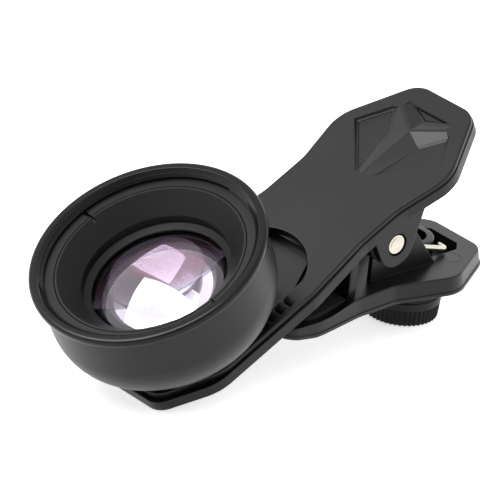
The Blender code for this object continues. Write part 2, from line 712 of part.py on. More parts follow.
def make_barrel(frame):
    """The turned barrel: filter collar, straight wall, bowl-shaped back and stepped bores."""
    bowl = arc((BASE_RADIUS, FIT + BOWL_RADIUS), BOWL_RADIUS, 0, -90, BOWL_STEPS)
    shelf = RING_BOTTOM - FIT - RING_THICKNESS - FIT
    turned("lens_barrel", [
        (FILTER_RADIUS, RIM_TOP - RIM_HEIGHT / 2 - FIT),
        (FILTER_RADIUS + COLLAR_WALL, RIM_TOP - RIM_HEIGHT / 2 - FIT),
        (FILTER_RADIUS + COLLAR_WALL, BARREL_SHOULDER),
        (BARREL_RADIUS, BARREL_SHOULDER),
        *bowl,
        (REAR_BORE, FIT),
        (REAR_BORE, CELL_FLOOR),
        (GLASS_RADIUS + FIT, CELL_FLOOR),
        (GLASS_RADIUS + FIT, GLASS_EDGE_TOP),
        (CONE_TOP_RADIUS + CONE_WALL, GLASS_EDGE_TOP),
        (CONE_TOP_RADIUS + CONE_WALL, shelf),
        (FILTER_RADIUS, shelf),
    ], frame, BLACK_METAL)


def make_front_ring(frame):
    """The bright rim that covers the barrel's collar."""
    bottom = RIM_TOP - RIM_HEIGHT
    lip_foot = RIM_TOP - RIM_HEIGHT / 2
    bore = FILTER_RADIUS + COLLAR_WALL + FIT
    turned("front_ring", [
        (FILTER_RADIUS, RIM_TOP - RIM_BEVEL),
        (FILTER_RADIUS + RIM_BEVEL, RIM_TOP),
        (RIM_RADIUS - RIM_CHAMFER, RIM_TOP),
        (RIM_RADIUS, RIM_TOP - RIM_CHAMFER),
        (RIM_RADIUS, bottom + RIM_CHAMFER),
        (RIM_RADIUS - RIM_CHAMFER, bottom),
        (bore, bottom),
        (bore, lip_foot),
        (FILTER_RADIUS, lip_foot),
    ], frame, BLACK_METAL)


def notch_cutter(inner):
    """Two blocks across the retaining ring, from a radius out to the filter thread."""
    bm = bmesh.new()
    low = (inner, -NOTCH_WIDTH / 2, RING_TOP - NOTCH_DEPTH)
    high = (FILTER_RADIUS, NOTCH_WIDTH / 2, RIM_TOP)
    bm.from_mesh(box("notch", low, high))
    bm.from_mesh(box("notch", (-high[0], low[1], low[2]), (-low[0], high[1], high[2])))
    bmesh.ops.rotate(bm, verts=bm.verts, matrix=Matrix.Rotation(NOTCH_ANGLE, 3, "Z"))
    return mesh_from(bm, "spanner_notches")


def make_retaining_ring(frame):
    """The flat ring screwed in over the cone, with two notches for a spanner."""
    inner = CONE_TOP_RADIUS + CONE_LIP + FIT
    ring = turned("retaining_ring", [
        (inner, RING_TOP),
        (FILTER_RADIUS - FIT, RING_TOP),
        (FILTER_RADIUS - FIT, RING_BOTTOM),
        (inner, RING_BOTTOM),
    ], frame, BLACK_METAL)
    cut(ring, "ring_notches", notch_cutter(inner - FIT))


def make_baffle_cone(frame):
    """The stepped cone inside the rim that frames and holds the front glass."""
    foot = RING_TOP - CONE_DEPTH
    window_sag = GLASS_CURVE - math.sqrt(GLASS_CURVE ** 2 - GLASS_WINDOW ** 2)
    lip = GLASS_APEX - window_sag + FIT
    flange_top = RING_BOTTOM - FIT
    flange_foot = flange_top - RING_THICKNESS
    outer_foot = GLASS_EDGE_TOP + FIT
    cone = turned("baffle_cone", [
        (CONE_TOP_RADIUS, RING_TOP),
        (CONE_TOP_RADIUS + CONE_LIP, RING_TOP),
        (CONE_TOP_RADIUS + CONE_LIP, flange_top),
        (FILTER_RADIUS - FIT, flange_top),
        (FILTER_RADIUS - FIT, flange_foot),
        (CONE_TOP_RADIUS, flange_foot),
        (CONE_FOOT_RADIUS + CONE_WALL, foot),
        (CONE_FOOT_RADIUS + CONE_WALL, outer_foot),
        (GLASS_RADIUS, outer_foot),
        (GLASS_WINDOW, lip),
        (GLASS_WINDOW, lip + FIT),
        (CONE_FOOT_RADIUS, lip + CONE_LIP_RISE),
        (CONE_FOOT_RADIUS, foot),
    ], frame, BLACK_METAL)
    cut(cone, "cone_notches", notch_cutter(CONE_TOP_RADIUS - NOTCH_REACH))


def make_glass(frame):
    """The three glass elements, the spacer between them and the threaded rear mount."""
    front = dome(GLASS_APEX, GLASS_CURVE, GLASS_RADIUS, 6)
    back_sag = GLASS_BACK_CURVE - math.sqrt(GLASS_BACK_CURVE ** 2 - GLASS_RADIUS ** 2)
    back = dome(GLASS_EDGE_FOOT - back_sag, GLASS_BACK_CURVE, GLASS_RADIUS, 3, -1)
    turned("front_element", front + back[::-1], frame, GLASS, closed=False)
    turned("spacer_ring", [
        (GLASS_WINDOW, SPACER_TOP),
        (GLASS_RADIUS, SPACER_TOP),
        (GLASS_RADIUS, SPACER_FOOT),
        (GLASS_WINDOW, SPACER_FOOT),
    ], frame, BLACK_METAL)
    sag = MIDDLE_GLASS_CURVE - math.sqrt(MIDDLE_GLASS_CURVE ** 2 - GLASS_RADIUS ** 2)
    upper = dome(MIDDLE_TOP - sag, MIDDLE_GLASS_CURVE, GLASS_RADIUS, 3, -1)
    turned("middle_element", upper + [(GLASS_RADIUS, MIDDLE_FOOT), (0.0, MIDDLE_FOOT)], frame,
           GLASS, closed=False)
    turned("rear_element", [
        (0.0, REAR_GLASS_TOP),
        (REAR_GLASS_RADIUS, REAR_GLASS_TOP),
        (REAR_GLASS_RADIUS, REAR_GLASS_FOOT),
        (0.0, REAR_GLASS_FOOT),
    ], frame, GLASS, closed=False)
    turned("rear_mount", [
        (SPIGOT_RADIUS - SPIGOT_WALL, REAR_GLASS_FOOT - FIT),
        (SPIGOT_RADIUS, REAR_GLASS_FOOT - FIT),
        (SPIGOT_RADIUS, -SPIGOT_REACH),
        (SPIGOT_RADIUS - SPIGOT_WALL, -SPIGOT_REACH),
    ], frame, BLACK_METAL)


def lower_outline(grow=0.0):
    """The lower arm's outline about the pin."""
    half = [
        (JAW_TIP, JAW_HALF, JAW_CORNER),
        (JAW_SHOULDER, JAW_HALF, JAW_SHOULDER_CORNER),
        (LOWER_NECK, LOWER_NECK_HALF, LOWER_NECK_CORNER),
        (LOWER_WAIST, LOWER_WAIST_HALF, LOWER_WAIST_CORNER),
        (HEEL_X, HEEL_HALF, HEEL_CORNER),
        (LOWER_REAR, LOWER_REAR_HALF, LOWER_REAR_CORNER),
    ]
    return inset(rounded(both_sides(half)), -grow)


def bottom_height(x):
    """The lower arm's bottom edge, which rises towards the jaw's tip."""
    start = JAW_TIP + TIP_RISE_LENGTH
    return LOWER_BOTTOM + max(0.0, start - x) / TIP_RISE_LENGTH * TIP_RISE


def lip_height(x):
    """The line above the bottom edge where the lip stands out."""
    return bottom_height(x) + LIP_HEIGHT


def make_lower_arm(frame):
    """The moulded lower arm: jaw, stop wall, hinge cheeks, window and screw boss."""
    top = lower_outline()
    shell = loft("lower_arm", [
        (inset(top, EDGE_FILLET), LOWER_TOP),
        (inset(top, EDGE_MIDDLE), LOWER_TOP - EDGE_MIDDLE),
        (top, LOWER_TOP - EDGE_FILLET),
        (lower_outline(LOWER_DRAFT), lip_height),
        (lower_outline(LOWER_DRAFT + LIP_OUT), lambda x: lip_height(x) - RIDGE_LAND),
        (lower_outline(LOWER_DRAFT + LIP_OUT), bottom_height),
    ])
    arm = piece("lower_arm", shell, frame, BLACK_PLASTIC)
    wall_front = STOP_WALL_X - STOP_WALL_THICKNESS / 2
    wall_rear = STOP_WALL_X + STOP_WALL_THICKNESS / 2
    ramp = rounded([
        (JAW_TIP - JAW_CORNER, JAW_TOP, 0),
        (RAMP_START, JAW_TOP, RAMP_CORNER),
        (RAMP_END, LOWER_TOP + RIDGE_LAND, 0),
        (RAMP_END, 0, 0),
        (JAW_TIP - JAW_CORNER, 0, 0),
    ])
    cut(arm, "jaw_ramp", side_on("jaw_ramp", ramp, -2 * JAW_HALF, 2 * JAW_HALF))
    cut(arm, "pad_pocket", flat("pad_pocket", pad_outline(FIT), JAW_TOP - PAD_POCKET, 0))
    rear_hollow = flat("rear_hollow", inset(top, LOWER_WALL), LOWER_BOTTOM - MM,
                       LOWER_TOP - LOWER_PLATE)
    cut(arm, "rear_hollow", clipped(rear_hollow, wall_rear, True))
    jaw_roof = JAW_TOP - PAD_POCKET - JAW_PLATE
    jaw_hollow = flat("jaw_hollow", inset(top, JAW_WALL), LOWER_BOTTOM - MM, jaw_roof)
    cut(arm, "jaw_hollow", clipped(jaw_hollow, wall_rear + FIT, False))
    cut(arm, "window", flat("window", [
        (WINDOW_FRONT, -WINDOW_HALF),
        (WINDOW_REAR - WINDOW_CHAMFER, -WINDOW_HALF),
        (WINDOW_REAR, WINDOW_CHAMFER - WINDOW_HALF),
        (WINDOW_REAR, WINDOW_HALF - WINDOW_CHAMFER),
        (WINDOW_REAR - WINDOW_CHAMFER, WINDOW_HALF),
        (WINDOW_FRONT, WINDOW_HALF),
    ], LOWER_BOTTOM - MM, LOWER_TOP + MM))
    join(arm, "stop_wall", box(
        "stop_wall", (wall_front, -STOP_WALL_HALF, JAW_TOP - PAD_POCKET - JAW_PLATE / 2),
        (wall_rear + FIT, STOP_WALL_HALF, STOP_WALL_TOP)))
    inside = LOWER_TOP - LOWER_PLATE / 2
    cheek = rounded([
        (CHEEK_FRONT, inside, 0),
        (CHEEK_FRONT, HUB_RADIUS / 2, CHEEK_FRONT_CORNER),
        (HUB_RADIUS, HUB_RADIUS, CHEEK_TOP_CORNER),
        (CHEEK_REAR_TOP, -CHEEK_REAR_DROP, CHEEK_REAR_CORNER),
        (CHEEK_REAR_FOOT, inside, 0),
    ])
    for side, name in ((-1, "near"), (1, "far")):
        ends = sorted((side * CHEEK_INNER, side * (CHEEK_INNER + CHEEK_WALL)))
        join(arm, f"{name}_cheek", side_on("cheek", cheek, *ends))
        ends = sorted((side * (CHEEK_INNER + CHEEK_WALL / 2), side * (EAR_INNER - FIT)))
        join(arm, f"{name}_hub", cross_rod("hub", HUB_RADIUS, *ends))
    join(arm, "screw_boss", rod("screw_boss", BOSS_RADIUS, LOWER_BOTTOM, BOSS_TOP, SCREW_X))
    bore = rod("screw_bore", BOSS_BORE, LOWER_BOTTOM - MM, BOSS_TOP + MM, SCREW_X)
    cut(arm, "screw_bore", bore)
    cut(arm, "hub_hole", cross_rod("hub_hole", HOLE_RADIUS, -EAR_INNER, EAR_INNER))
    return arm


def clipped(mesh, x, keep_rear):
    """Keep the part of a solid behind a plane across x, or in front of it, and close it."""
    bm = bmesh.new()
    bm.from_mesh(mesh)
    direction = (1, 0, 0) if keep_rear else (-1, 0, 0)
    shapes = bm.verts[:] + bm.edges[:] + bm.faces[:]
    split = bmesh.ops.bisect_plane(bm, geom=shapes, plane_co=(x, 0, 0), plane_no=direction,
                                   clear_inner=True)
    edges = [shape for shape in split["geom_cut"] if isinstance(shape, bmesh.types.BMEdge)]
    bmesh.ops.holes_fill(bm, edges=edges)
    return mesh_from(bm, mesh.name)


def pad_outline(grow=0.0):
    """The jaw pad's outline, from behind the jaw's tip to the stop wall."""
    half = [
        (JAW_TIP + PAD_FRONT_INSET, JAW_HALF - PAD_INSET, PAD_FRONT_CORNER),
        (JAW_SHOULDER, JAW_HALF - PAD_INSET, PAD_FRONT_CORNER),
        (STOP_WALL_X - STOP_WALL_THICKNESS / 2 - 2 * FIT, LOWER_NECK_HALF - PAD_INSET,
         PAD_REAR_CORNER),
    ]
    return inset(rounded(both_sides(half)), -grow)


def make_jaw_pad(frame):
    """The soft pad in its pocket on the jaw's top."""
    pad = flat("jaw_pad", pad_outline(), PAD_FOOT, PAD_FOOT + PAD_THICKNESS)
    piece("jaw_pad", pad, frame, RUBBER)


def make_hinge_pin(frame):
    """The steel pin, with dished ends."""
    half = EAR_OUTER - PIN_END_GAP
    bowl = PIN_RADIUS - PIN_RIM
    section = [(0.0, half - PIN_DISH), (PIN_BOWL, half - PIN_BOWL_DEPTH), (bowl, half)]
    section += [(PIN_RADIUS - PIN_CHAMFER, half), (PIN_RADIUS, half - PIN_CHAMFER)]
    mirrored = [(radius, -height) for radius, height in reversed(section)]
    pin = turned("hinge_pin", section + mirrored, frame, STEEL, closed=False, steps=SMALL_STEPS)
    pin.rotation_euler = (math.pi / 2, 0.0, 0.0)


def tangent_leg(x, z, below):
    """Where a straight leg that ends at (x, z) leaves the coil, as an angle about the pin."""
    spread = math.acos(COIL_RADIUS / math.hypot(x, z))
    return math.atan2(z, x) + (-spread if below else spread)


def make_spring(frame):
    """The torsion spring: a coil round the pin, one leg on the lower arm, one under the upper."""
    half = CHEEK_INNER - FIT - WIRE_RADIUS
    rest_z = LOWER_TOP + FIT + WIRE_RADIUS
    push_x, push_z = tilt(PUSH_LEG, PIN_DROP - ARM_PLATE - FIT - WIRE_RADIUS)
    start = tangent_leg(REST_LEG, rest_z, True)
    end = tangent_leg(push_x, push_z, False)
    sweep = COIL_TURNS * math.tau + (end - start) % math.tau - math.tau
    steps = round(COIL_STEPS * sweep / math.tau)
    points = [(REST_LEG, REST_LEG_BEND - half, rest_z)]
    points.append((REST_LEG, -half, rest_z))
    for step in range(steps + 1):
        share = step / steps
        angle = start + sweep * share
        points.append((COIL_RADIUS * math.cos(angle), half * (2 * share - 1),
                       COIL_RADIUS * math.sin(angle)))
    points.append((push_x, half, push_z))
    curve = bpy.data.curves.new("torsion_spring", "CURVE")
    curve.dimensions = "3D"
    curve.bevel_depth = WIRE_RADIUS
    curve.bevel_resolution = 1
    curve.use_fill_caps = True
    spline = curve.splines.new("POLY")
    spline.points.add(len(points) - 1)
    for point, place in zip(spline.points, points):
        point.co = (*place, 1.0)
    piece("torsion_spring", curve_to_mesh("torsion_spring", curve), frame, STEEL)


def make_clamp(root_frame, knob_frame):
    """The brass insert, the clamp screw with its foot, and the fluted knob."""
    insert_radius = BOSS_BORE - FIT
    insert_foot = LOWER_BOTTOM + FIT
    insert = turned("screw_insert", [
        (SCREW_RADIUS + FIT, insert_foot + INSERT_LENGTH),
        (insert_radius, insert_foot + INSERT_LENGTH),
        (insert_radius, insert_foot),
        (SCREW_RADIUS + FIT, insert_foot),
    ], root_frame, BRASS, steps=SMALL_STEPS)
    insert.location.x = SCREW_X
    foot_top = BOSS_TOP - FOOT_DROP
    foot_radius = BOSS_BORE - FIT
    turned("clamp_foot", [
        (0.0, foot_top),
        (foot_radius - FIT, foot_top),
        (foot_radius, foot_top - FIT),
        (foot_radius, foot_top - FOOT_HEIGHT),
        (SCREW_RADIUS + FIT, foot_top - FOOT_HEIGHT),
        (SCREW_RADIUS + FIT, foot_top - FOOT_CAP),
        (0.0, foot_top - FOOT_CAP),
    ], knob_frame, RUBBER, closed=False, steps=SMALL_STEPS)
    screw_low = KNOB_TOP - SCREW_SEAT
    piece("clamp_screw", rod("clamp_screw", SCREW_RADIUS, screw_low, foot_top - FOOT_CAP - FIT),
          knob_frame, STEEL)
    knob = turned("clamp_knob", [
        (SCREW_RADIUS + FIT, KNOB_TOP),
        (KNOB_TOP_RADIUS - FIT, KNOB_TOP),
        (KNOB_TOP_RADIUS, KNOB_TOP - FIT),
        (KNOB_RADIUS + KNOB_TAPER, KNOB_BOTTOM + FIT),
        (KNOB_RADIUS - KNOB_TAPER, KNOB_BOTTOM),
        (0.0, KNOB_BOTTOM),
        (0.0, screw_low - FIT),
        (SCREW_RADIUS + FIT, screw_low - FIT),
    ], knob_frame, BLACK_PLASTIC, steps=TURN_STEPS)
    bm = bmesh.new()
    low = (KNOB_RADIUS - KNOB_GROOVE_DEPTH, -KNOB_GROOVE_WIDTH / 2, KNOB_BOTTOM - MM)
    high = (KNOB_TOP_RADIUS + MM, KNOB_GROOVE_WIDTH / 2, KNOB_BOTTOM + KNOB_GRIP_HEIGHT)
    for count in range(KNOB_GROOVES):
        groove = box("groove", low, high)
        groove.transform(Matrix.Rotation(math.tau * count / KNOB_GROOVES, 4, "Z"))
        bm.from_mesh(groove)
    cut(knob, "knob_grooves", mesh_from(bm, "knob_grooves"))


clear_scene()
PARTS = new_collection("clip_on_lens")
CUTTERS = new_collection("cutters")

root_frame = frame_empty("root_frame", PIN_PLACE)
hinge_frame = frame_empty("hinge_frame", PIN_PLACE, turn=-CLOSED_ANGLE)
plate_frame = frame_empty("plate_frame", (-PIN_X, 0.0, PIN_DROP), hinge_frame)
knob_frame = frame_empty("knob_frame", PIN_PLACE + Vector((SCREW_X, 0, 0)))

make_lower_arm(root_frame)
make_jaw_pad(root_frame)
make_hinge_pin(root_frame)
make_spring(root_frame)
make_clamp(root_frame, knob_frame)
make_upper_arm(plate_frame)
make_carriage(plate_frame)
make_barrel(plate_frame)
make_front_ring(plate_frame)
make_retaining_ring(plate_frame)
make_baffle_cone(plate_frame)
make_glass(plate_frame)
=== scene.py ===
import math

import bmesh
import bpy
from mathutils import Matrix, Vector


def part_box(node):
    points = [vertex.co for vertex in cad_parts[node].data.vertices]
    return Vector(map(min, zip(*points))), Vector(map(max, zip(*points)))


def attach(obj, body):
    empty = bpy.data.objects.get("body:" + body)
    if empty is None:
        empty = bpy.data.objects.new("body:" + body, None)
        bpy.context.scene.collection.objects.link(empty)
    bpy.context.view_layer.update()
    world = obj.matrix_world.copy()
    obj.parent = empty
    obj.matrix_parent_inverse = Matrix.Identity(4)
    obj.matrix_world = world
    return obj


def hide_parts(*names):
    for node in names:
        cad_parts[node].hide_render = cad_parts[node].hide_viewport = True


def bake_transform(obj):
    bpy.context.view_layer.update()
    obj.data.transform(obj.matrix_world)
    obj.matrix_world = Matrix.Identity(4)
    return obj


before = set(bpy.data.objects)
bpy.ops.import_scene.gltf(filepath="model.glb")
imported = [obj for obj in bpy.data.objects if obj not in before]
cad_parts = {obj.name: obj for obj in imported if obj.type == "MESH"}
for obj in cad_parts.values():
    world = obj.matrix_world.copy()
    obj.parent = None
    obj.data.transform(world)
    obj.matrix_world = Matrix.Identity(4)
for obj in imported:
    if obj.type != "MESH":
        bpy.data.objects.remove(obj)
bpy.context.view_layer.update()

# Looks of a clip-on macro lens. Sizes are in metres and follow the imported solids.
MM = 0.001
FIT = 0.3 * MM
MERGE = 0.002 * MM

# The flat upper arm is drawn with its top at z = 0 and the lens axis at x = 0, then hung on
# the hinge pin; the lower arm is drawn about the pin.
CLOSED_ANGLE = math.radians(28.0)
PIN_X = 38.12 * MM
PIN_DROP = 6.58 * MM
PIN_LOW, PIN_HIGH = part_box("hinge_pin")
PIN = (PIN_LOW + PIN_HIGH) / 2
LOWER = Matrix.Translation(PIN)
UPPER = LOWER @ Matrix.Rotation(-CLOSED_ANGLE, 4, "Y") @ Matrix.Translation((-PIN_X, 0, PIN_DROP))

# Lens
FILTER_RADIUS = 18.5 * MM
RIM_RADIUS = 20.5 * MM
RIM_TOP = 19.33 * MM
RIM_HEIGHT = 1.63 * MM
RIM_ROUND = 0.62 * MM
RIM_BEVEL = 0.6 * MM
COLLAR_WALL = 0.6 * MM
BARREL_RADIUS = 19.5 * MM
BOWL_RADIUS = 10.2 * MM
CONE_TOP_RADIUS = 16.05 * MM
CONE_FOOT_RADIUS = 12.85 * MM
CONE_WALL = 1.0 * MM
CONE_DEPTH = 3.3 * MM
CONE_LIP = 0.4 * MM
RING_TOP = RIM_TOP - 1.83 * MM
RING_BOTTOM = RING_TOP - 0.8 * MM
NOTCH_ANGLE = math.radians(87.0)
NOTCH_WIDTH = 0.6 * MM
NOTCH_DEPTH = 0.7 * MM
NOTCH_INNER = 14.55 * MM
GLASS_RADIUS = 12.4 * MM
GLASS_WINDOW = 11.7 * MM
GLASS_APEX = 14.5 * MM
FILTER_PITCH = 0.5 * MM
FILTER_TURNS = 2.6
FILTER_CREST = 0.24 * MM
BOWL_STEPS = 32
TURNED_STEPS = 192
GLASS_CURVE = 24.0 * MM
GLASS_BACK_CURVE = 72.0 * MM
GLASS_EDGE_TOP = GLASS_APEX - GLASS_CURVE + math.sqrt(GLASS_CURVE ** 2 - GLASS_RADIUS ** 2)
GLASS_EDGE_FOOT = GLASS_EDGE_TOP - 3.0 * MM
MIDDLE_TOP = GLASS_EDGE_FOOT - 1.3 * MM - 2 * FIT
CELL_FLOOR = MIDDLE_TOP - 1.4 * MM - FIT
SHELF = RING_BOTTOM - 0.8 * MM - 2 * FIT
BORE = 8.3 * MM

# Upper arm
ARM_FRONT = -13.4 * MM
ARM_FRONT_HALF = 8.2 * MM
ARM_SHOULDER = -4.2 * MM
ARM_HALF = 14.0 * MM
ARM_TAPER_START = 19.0 * MM
ARM_WAIST_START = 31.5 * MM
ARM_WAIST_END = 40.5 * MM
ARM_WAIST_HALF = 12.2 * MM
GRIP_WIDEST = 51.0 * MM
GRIP_HALF = 14.5 * MM
ARM_REAR = 64.2 * MM
ARM_REAR_HALF = 7.0 * MM
ARM_DEPTH = 3.1 * MM
ARM_PLATE = 1.8 * MM
ARM_WALL = 1.8 * MM
ARM_FRONT_DRAFT = 0.8 * MM
ARM_SHOULDER_DRAFT = 2.0 * MM
ARM_DRAFT = 0.42 * MM
WAIST_DRAFT = 0.15 * MM
STEP_DROP = 0.9 * MM
STEP_GROOVE = 0.14 * MM
STEP_LEDGE = 0.06 * MM
SKIRT_FILLET = 0.18 * MM
EDGE_FILLET = 0.35 * MM
SLOT_REAR_RADIUS = 11.3 * MM
SLOT_REAR = 26.5 * MM
SLOT_HALF = 10.2 * MM
SLOT_FRONT = -10.8 * MM
SLOT_FILLET = 0.25 * MM
SLOT_REAR_STEPS = 40
SLOT_FRONT_STEPS = 48
TOOTH_COUNT = 9
TOOTH_PITCH = 2.15 * MM
TOOTH_LAST = 14.6 * MM
TOOTH_WIDTH = 0.55 * MM
TOOTH_DEPTH = 1.2 * MM
TOOTH_INNER = SLOT_HALF - 0.1 * MM
TOOTH_OUTER = 12.7 * MM
TOOTH_ROOT = 0.1 * MM
RELIEF_DEPTH = 0.75 * MM
RELIEF_WALL = 0.6 * MM
RELIEF_BEVEL = 0.26 * MM
RELIEF_FOLD = 0.06
CRISP_ANGLE = 0.05
EAR_INNER = 10.0 * MM
EAR_OUTER = 12.0 * MM
EAR_FRONT = PIN_X - 3.75 * MM
EAR_FOOT = -PIN_DROP - 3.65 * MM
EAR_HEEL = PIN_X + 1.3 * MM
EAR_REAR = PIN_X + 8.5 * MM
HOLE_RADIUS = 2.05 * MM

# The grip's three recesses in the flat arm: one on each side and one at the rear
SIDE_RIM = ((43.6 * MM, 1.75 * MM), (51.9 * MM, 10.4 * MM), (57.3 * MM, 6.9 * MM))
SIDE_RIDGE = ((43.2 * MM, 0.03 * MM), (54.84 * MM, 0.03 * MM), (58.3 * MM, 5.9 * MM))
SIDE_FLOOR = (53.2 * MM, 3.7 * MM)
REAR_RIM = ((60.1 * MM, -4.7 * MM), (60.1 * MM, 4.7 * MM))
REAR_RIDGE = ((58.75 * MM, -5.65 * MM), (55.2 * MM, 0.0), (58.75 * MM, 5.65 * MM))
REAR_FLOOR = (58.4 * MM, 0.0)
GRIP_LOW = Vector((42, -13, -1)) * MM
GRIP_HIGH = Vector((62, 13, -0.001)) * MM

# Lens carriage
CARRIAGE_FRONT = -11.0 * MM
CARRIAGE_HALF = 11.2 * MM
CARRIAGE_CORNER = 1.5 * MM
CARRIAGE_NECK_LENGTH = 4.0 * MM
CARRIAGE_NECK_HALF = 7.9 * MM
CARRIAGE_TIP_LENGTH = 5.5 * MM
CARRIAGE_TIP_HALF = 5.5 * MM
CARRIAGE_TOP = -2.1 * MM
CARRIAGE_FOOT = -3.1 * MM
CARRIAGE_REAR = 24.8 * MM
CARRIAGE_CREASE = 23.1 * MM
CREASE_SLOPE = 0.03
FLANGE_HALF = 11.85 * MM
FLANGE_REAR = CARRIAGE_REAR + 1.7 * MM
FLANGE_REAR_HALF = 9.5 * MM
FLANGE_TOP = CARRIAGE_TOP - 0.6 * MM
FLANGE_FOOT = CARRIAGE_TOP - 0.95 * MM
MOUNT_BORE = 8.3 * MM
MOUNT_RADIUS = 9.7 * MM
MOUNT_NECK = 8.9 * MM

# Lower arm
JAW_TIP = -25.0 * MM
JAW_HALF = 13.1 * MM
JAW_SHOULDER = -17.0 * MM
LOWER_NECK = -6.5 * MM
LOWER_NECK_HALF = 11.1 * MM
LOWER_WAIST = 2.3 * MM
LOWER_WAIST_HALF = 10.5 * MM
HEEL_X = 14.6 * MM
HEEL_HALF = 13.3 * MM
LOWER_REAR = 26.3 * MM
LOWER_REAR_HALF = 6.4 * MM
LOWER_TOP = -9.0 * MM
LOWER_BOTTOM = -12.2 * MM
LOWER_PLATE = 1.6 * MM
LOWER_WALL = 1.6 * MM
JAW_WALL = 1.8 * MM
LOWER_DRAFT = 0.35 * MM
LIP_HEIGHT = 0.7 * MM
LIP_OUT = 0.22 * MM
JAW_TOP = LOWER_TOP - 0.7 * MM
RAMP_START = -14.0 * MM
RAMP_END = -7.2 * MM
PAD_POCKET = 0.7 * MM
PAD_INSET = 1.3 * MM
PAD_FRONT_INSET = 4.4 * MM
JAW_PLATE = 1.0 * MM
TIP_RISE = 1.0 * MM
TIP_RISE_LENGTH = 6.0 * MM
STOP_WALL_X = -6.95 * MM
STOP_WALL_HALF_THICKNESS = 0.75 * MM
STOP_WALL_HALF = 9.5 * MM
STOP_WALL_TOP = -2.5 * MM
CHEEK_INNER = 5.9 * MM
CHEEK_WALL = 1.0 * MM
CHEEK_FRONT = -0.3 * MM
HUB_RADIUS = 4.0 * MM
WINDOW_HALF = 5.1 * MM
WINDOW_FRONT = 14.6 * MM
WINDOW_REAR = 23.4 * MM
WINDOW_CHAMFER = 1.8 * MM
WINDOW_CORNER = 0.5 * MM
# Painted shade: a dark sheet low in the lower arm, under the window, stands in for the shade inside
# it
SHADE_SHEET_FOOT = LOWER_BOTTOM + 0.05 * MM
SHADE_SHEET_TOP = LOWER_BOTTOM + 0.65 * MM
SHADE_SHEET_OVERLAP = 0.3 * MM
CHEEK_KNEE = (10.4 * MM, -3.2 * MM)
CHEEK_REAR = 15.3 * MM
SCREW_X = 14.8 * MM
BOSS_RADIUS = 4.3 * MM
BOSS_BORE = 3.0 * MM
BOSS_TOP = -6.6 * MM
POST_RADIUS = 2.6 * MM
POST_LENGTH = 6.5 * MM
EJECTOR_MARK = (18.5 * MM, 7.0 * MM)
EJECTOR_RADIUS = 1.85 * MM
EJECTOR_LINE = 0.1 * MM
EJECTOR_DEPTH = 0.06 * MM

# Pin, spring and knob
PIN_RADIUS = 1.75 * MM
PIN_HALF = 11.85 * MM
PIN_DISH = 0.35 * MM
PIN_RIM = 0.35 * MM
PIN_DISH_CURVE = 3.2 * MM
WIRE_RADIUS = 0.5 * MM
WIRE_BEND = 0.7 * MM
COIL_RADIUS = 2.6 * MM
COIL_TURNS = 9
COIL_STEPS = 40
REST_LEG = 18.8 * MM
REST_LEG_BEND = 1.7 * MM
PUSH_LEG = 16.0 * MM
KNOB_TOP = -16.8 * MM
KNOB_BOTTOM = -21.35 * MM
KNOB_RADIUS = 6.5 * MM
KNOB_TOP_RADIUS = 6.9 * MM
KNOB_GRIP_TOP = KNOB_BOTTOM + 3.1 * MM
KNOB_EDGE = 0.3 * MM
KNOB_EDGE_STEP = 0.08 * MM
KNOB_FLUTES = 46
FLUTE_STEPS = 10
FLUTE_DEPTH = 0.32 * MM
FLUTE_SHARE = 1.6
FLUTE_RUNOUT = 0.25 * MM
SCREW_RADIUS = 1.75 * MM
SCREW_LOW = KNOB_TOP - 2.7 * MM
SCREW_HIGH = -8.9 * MM
SCREW_PITCH = 0.6 * MM
SCREW_CREST = 0.2 * MM

# Edges that turn by more than these degrees stay sharp
MOULD_SHARP = 24.0
KNOB_SHARP = 35.0
CURVED_SHARP = 40.0
THREAD_SHARP = 20.0

# Studio
SKY_HORIZON = 1.9
SKY_ZENITH = 1.35
ROOM_SHADE = 0.42
ROOM_EDGE = 0.45
FLOOR_GLOW = 0.55
FLOOR_HALF = 3.0
SOFTBOX_PLACE = Vector((-0.47, 0.25, 0.62))
SOFTBOX_TARGET = Vector((-0.47, 0.25, 0.0))
SOFTBOX_SIZE = (0.66, 0.68)
SOFTBOX_POWER = 14.0
DARK_SIDE = Vector((-0.69, -0.72, 0.0))
CAMERA_PLACE = Vector((-543.4, -546.2, 360.4)) * MM
CAMERA_NUDGE = (-0.08 * MM, 0.024 * MM)
CAMERA_RIGHT = Vector((0.7515, -0.6526, 0.0969))
CAMERA_AIM = Vector((0.6226, 0.6528, -0.4315))
CAMERA_LENS = 360.0
CAMERA_SENSOR = 36.0


def rounded(corners, steps=10):
    """The points of a closed outline whose corners (x, y, radius) are rounded by arcs."""
    points = []
    for index, (x, y, radius) in enumerate(corners):
        here = Vector((x, y))
        if radius == 0:
            points.append(here)
            continue
        before = (Vector(corners[index - 1][:2]) - here).normalized()
        after = (Vector(corners[(index + 1) % len(corners)][:2]) - here).normalized()
        half = before.angle(after) / 2
        centre = here + (before + after).normalized() * radius / math.sin(half)
        reach = radius / math.tan(half)
        start = here + before * reach - centre
        sweep = (here + after * reach - centre).angle_signed(start)
        for step in range(steps + 1):
            points.append(centre + Matrix.Rotation(sweep * step / steps, 2) @ start)
    return points


def both_sides(half):
    """Mirror the corners of one side, given from front to rear, into a closed outline."""
    return half + [(x, -y, radius) for x, y, radius in reversed(half)]


def inset(points, distance):
    """Move each point of a closed outline inward along the mean of its two edge normals."""
    moved = []
    for index, here in enumerate(points):
        along_in = (here - points[index - 1]).normalized()
        along_out = (points[(index + 1) % len(points)] - here).normalized()
        inward = Vector((along_in.y + along_out.y, -along_in.x - along_out.x)).normalized()
        widen = max(inward.dot(Vector((along_in.y, -along_in.x))), 0.5)
        moved.append(here + inward * distance / widen)
    return moved


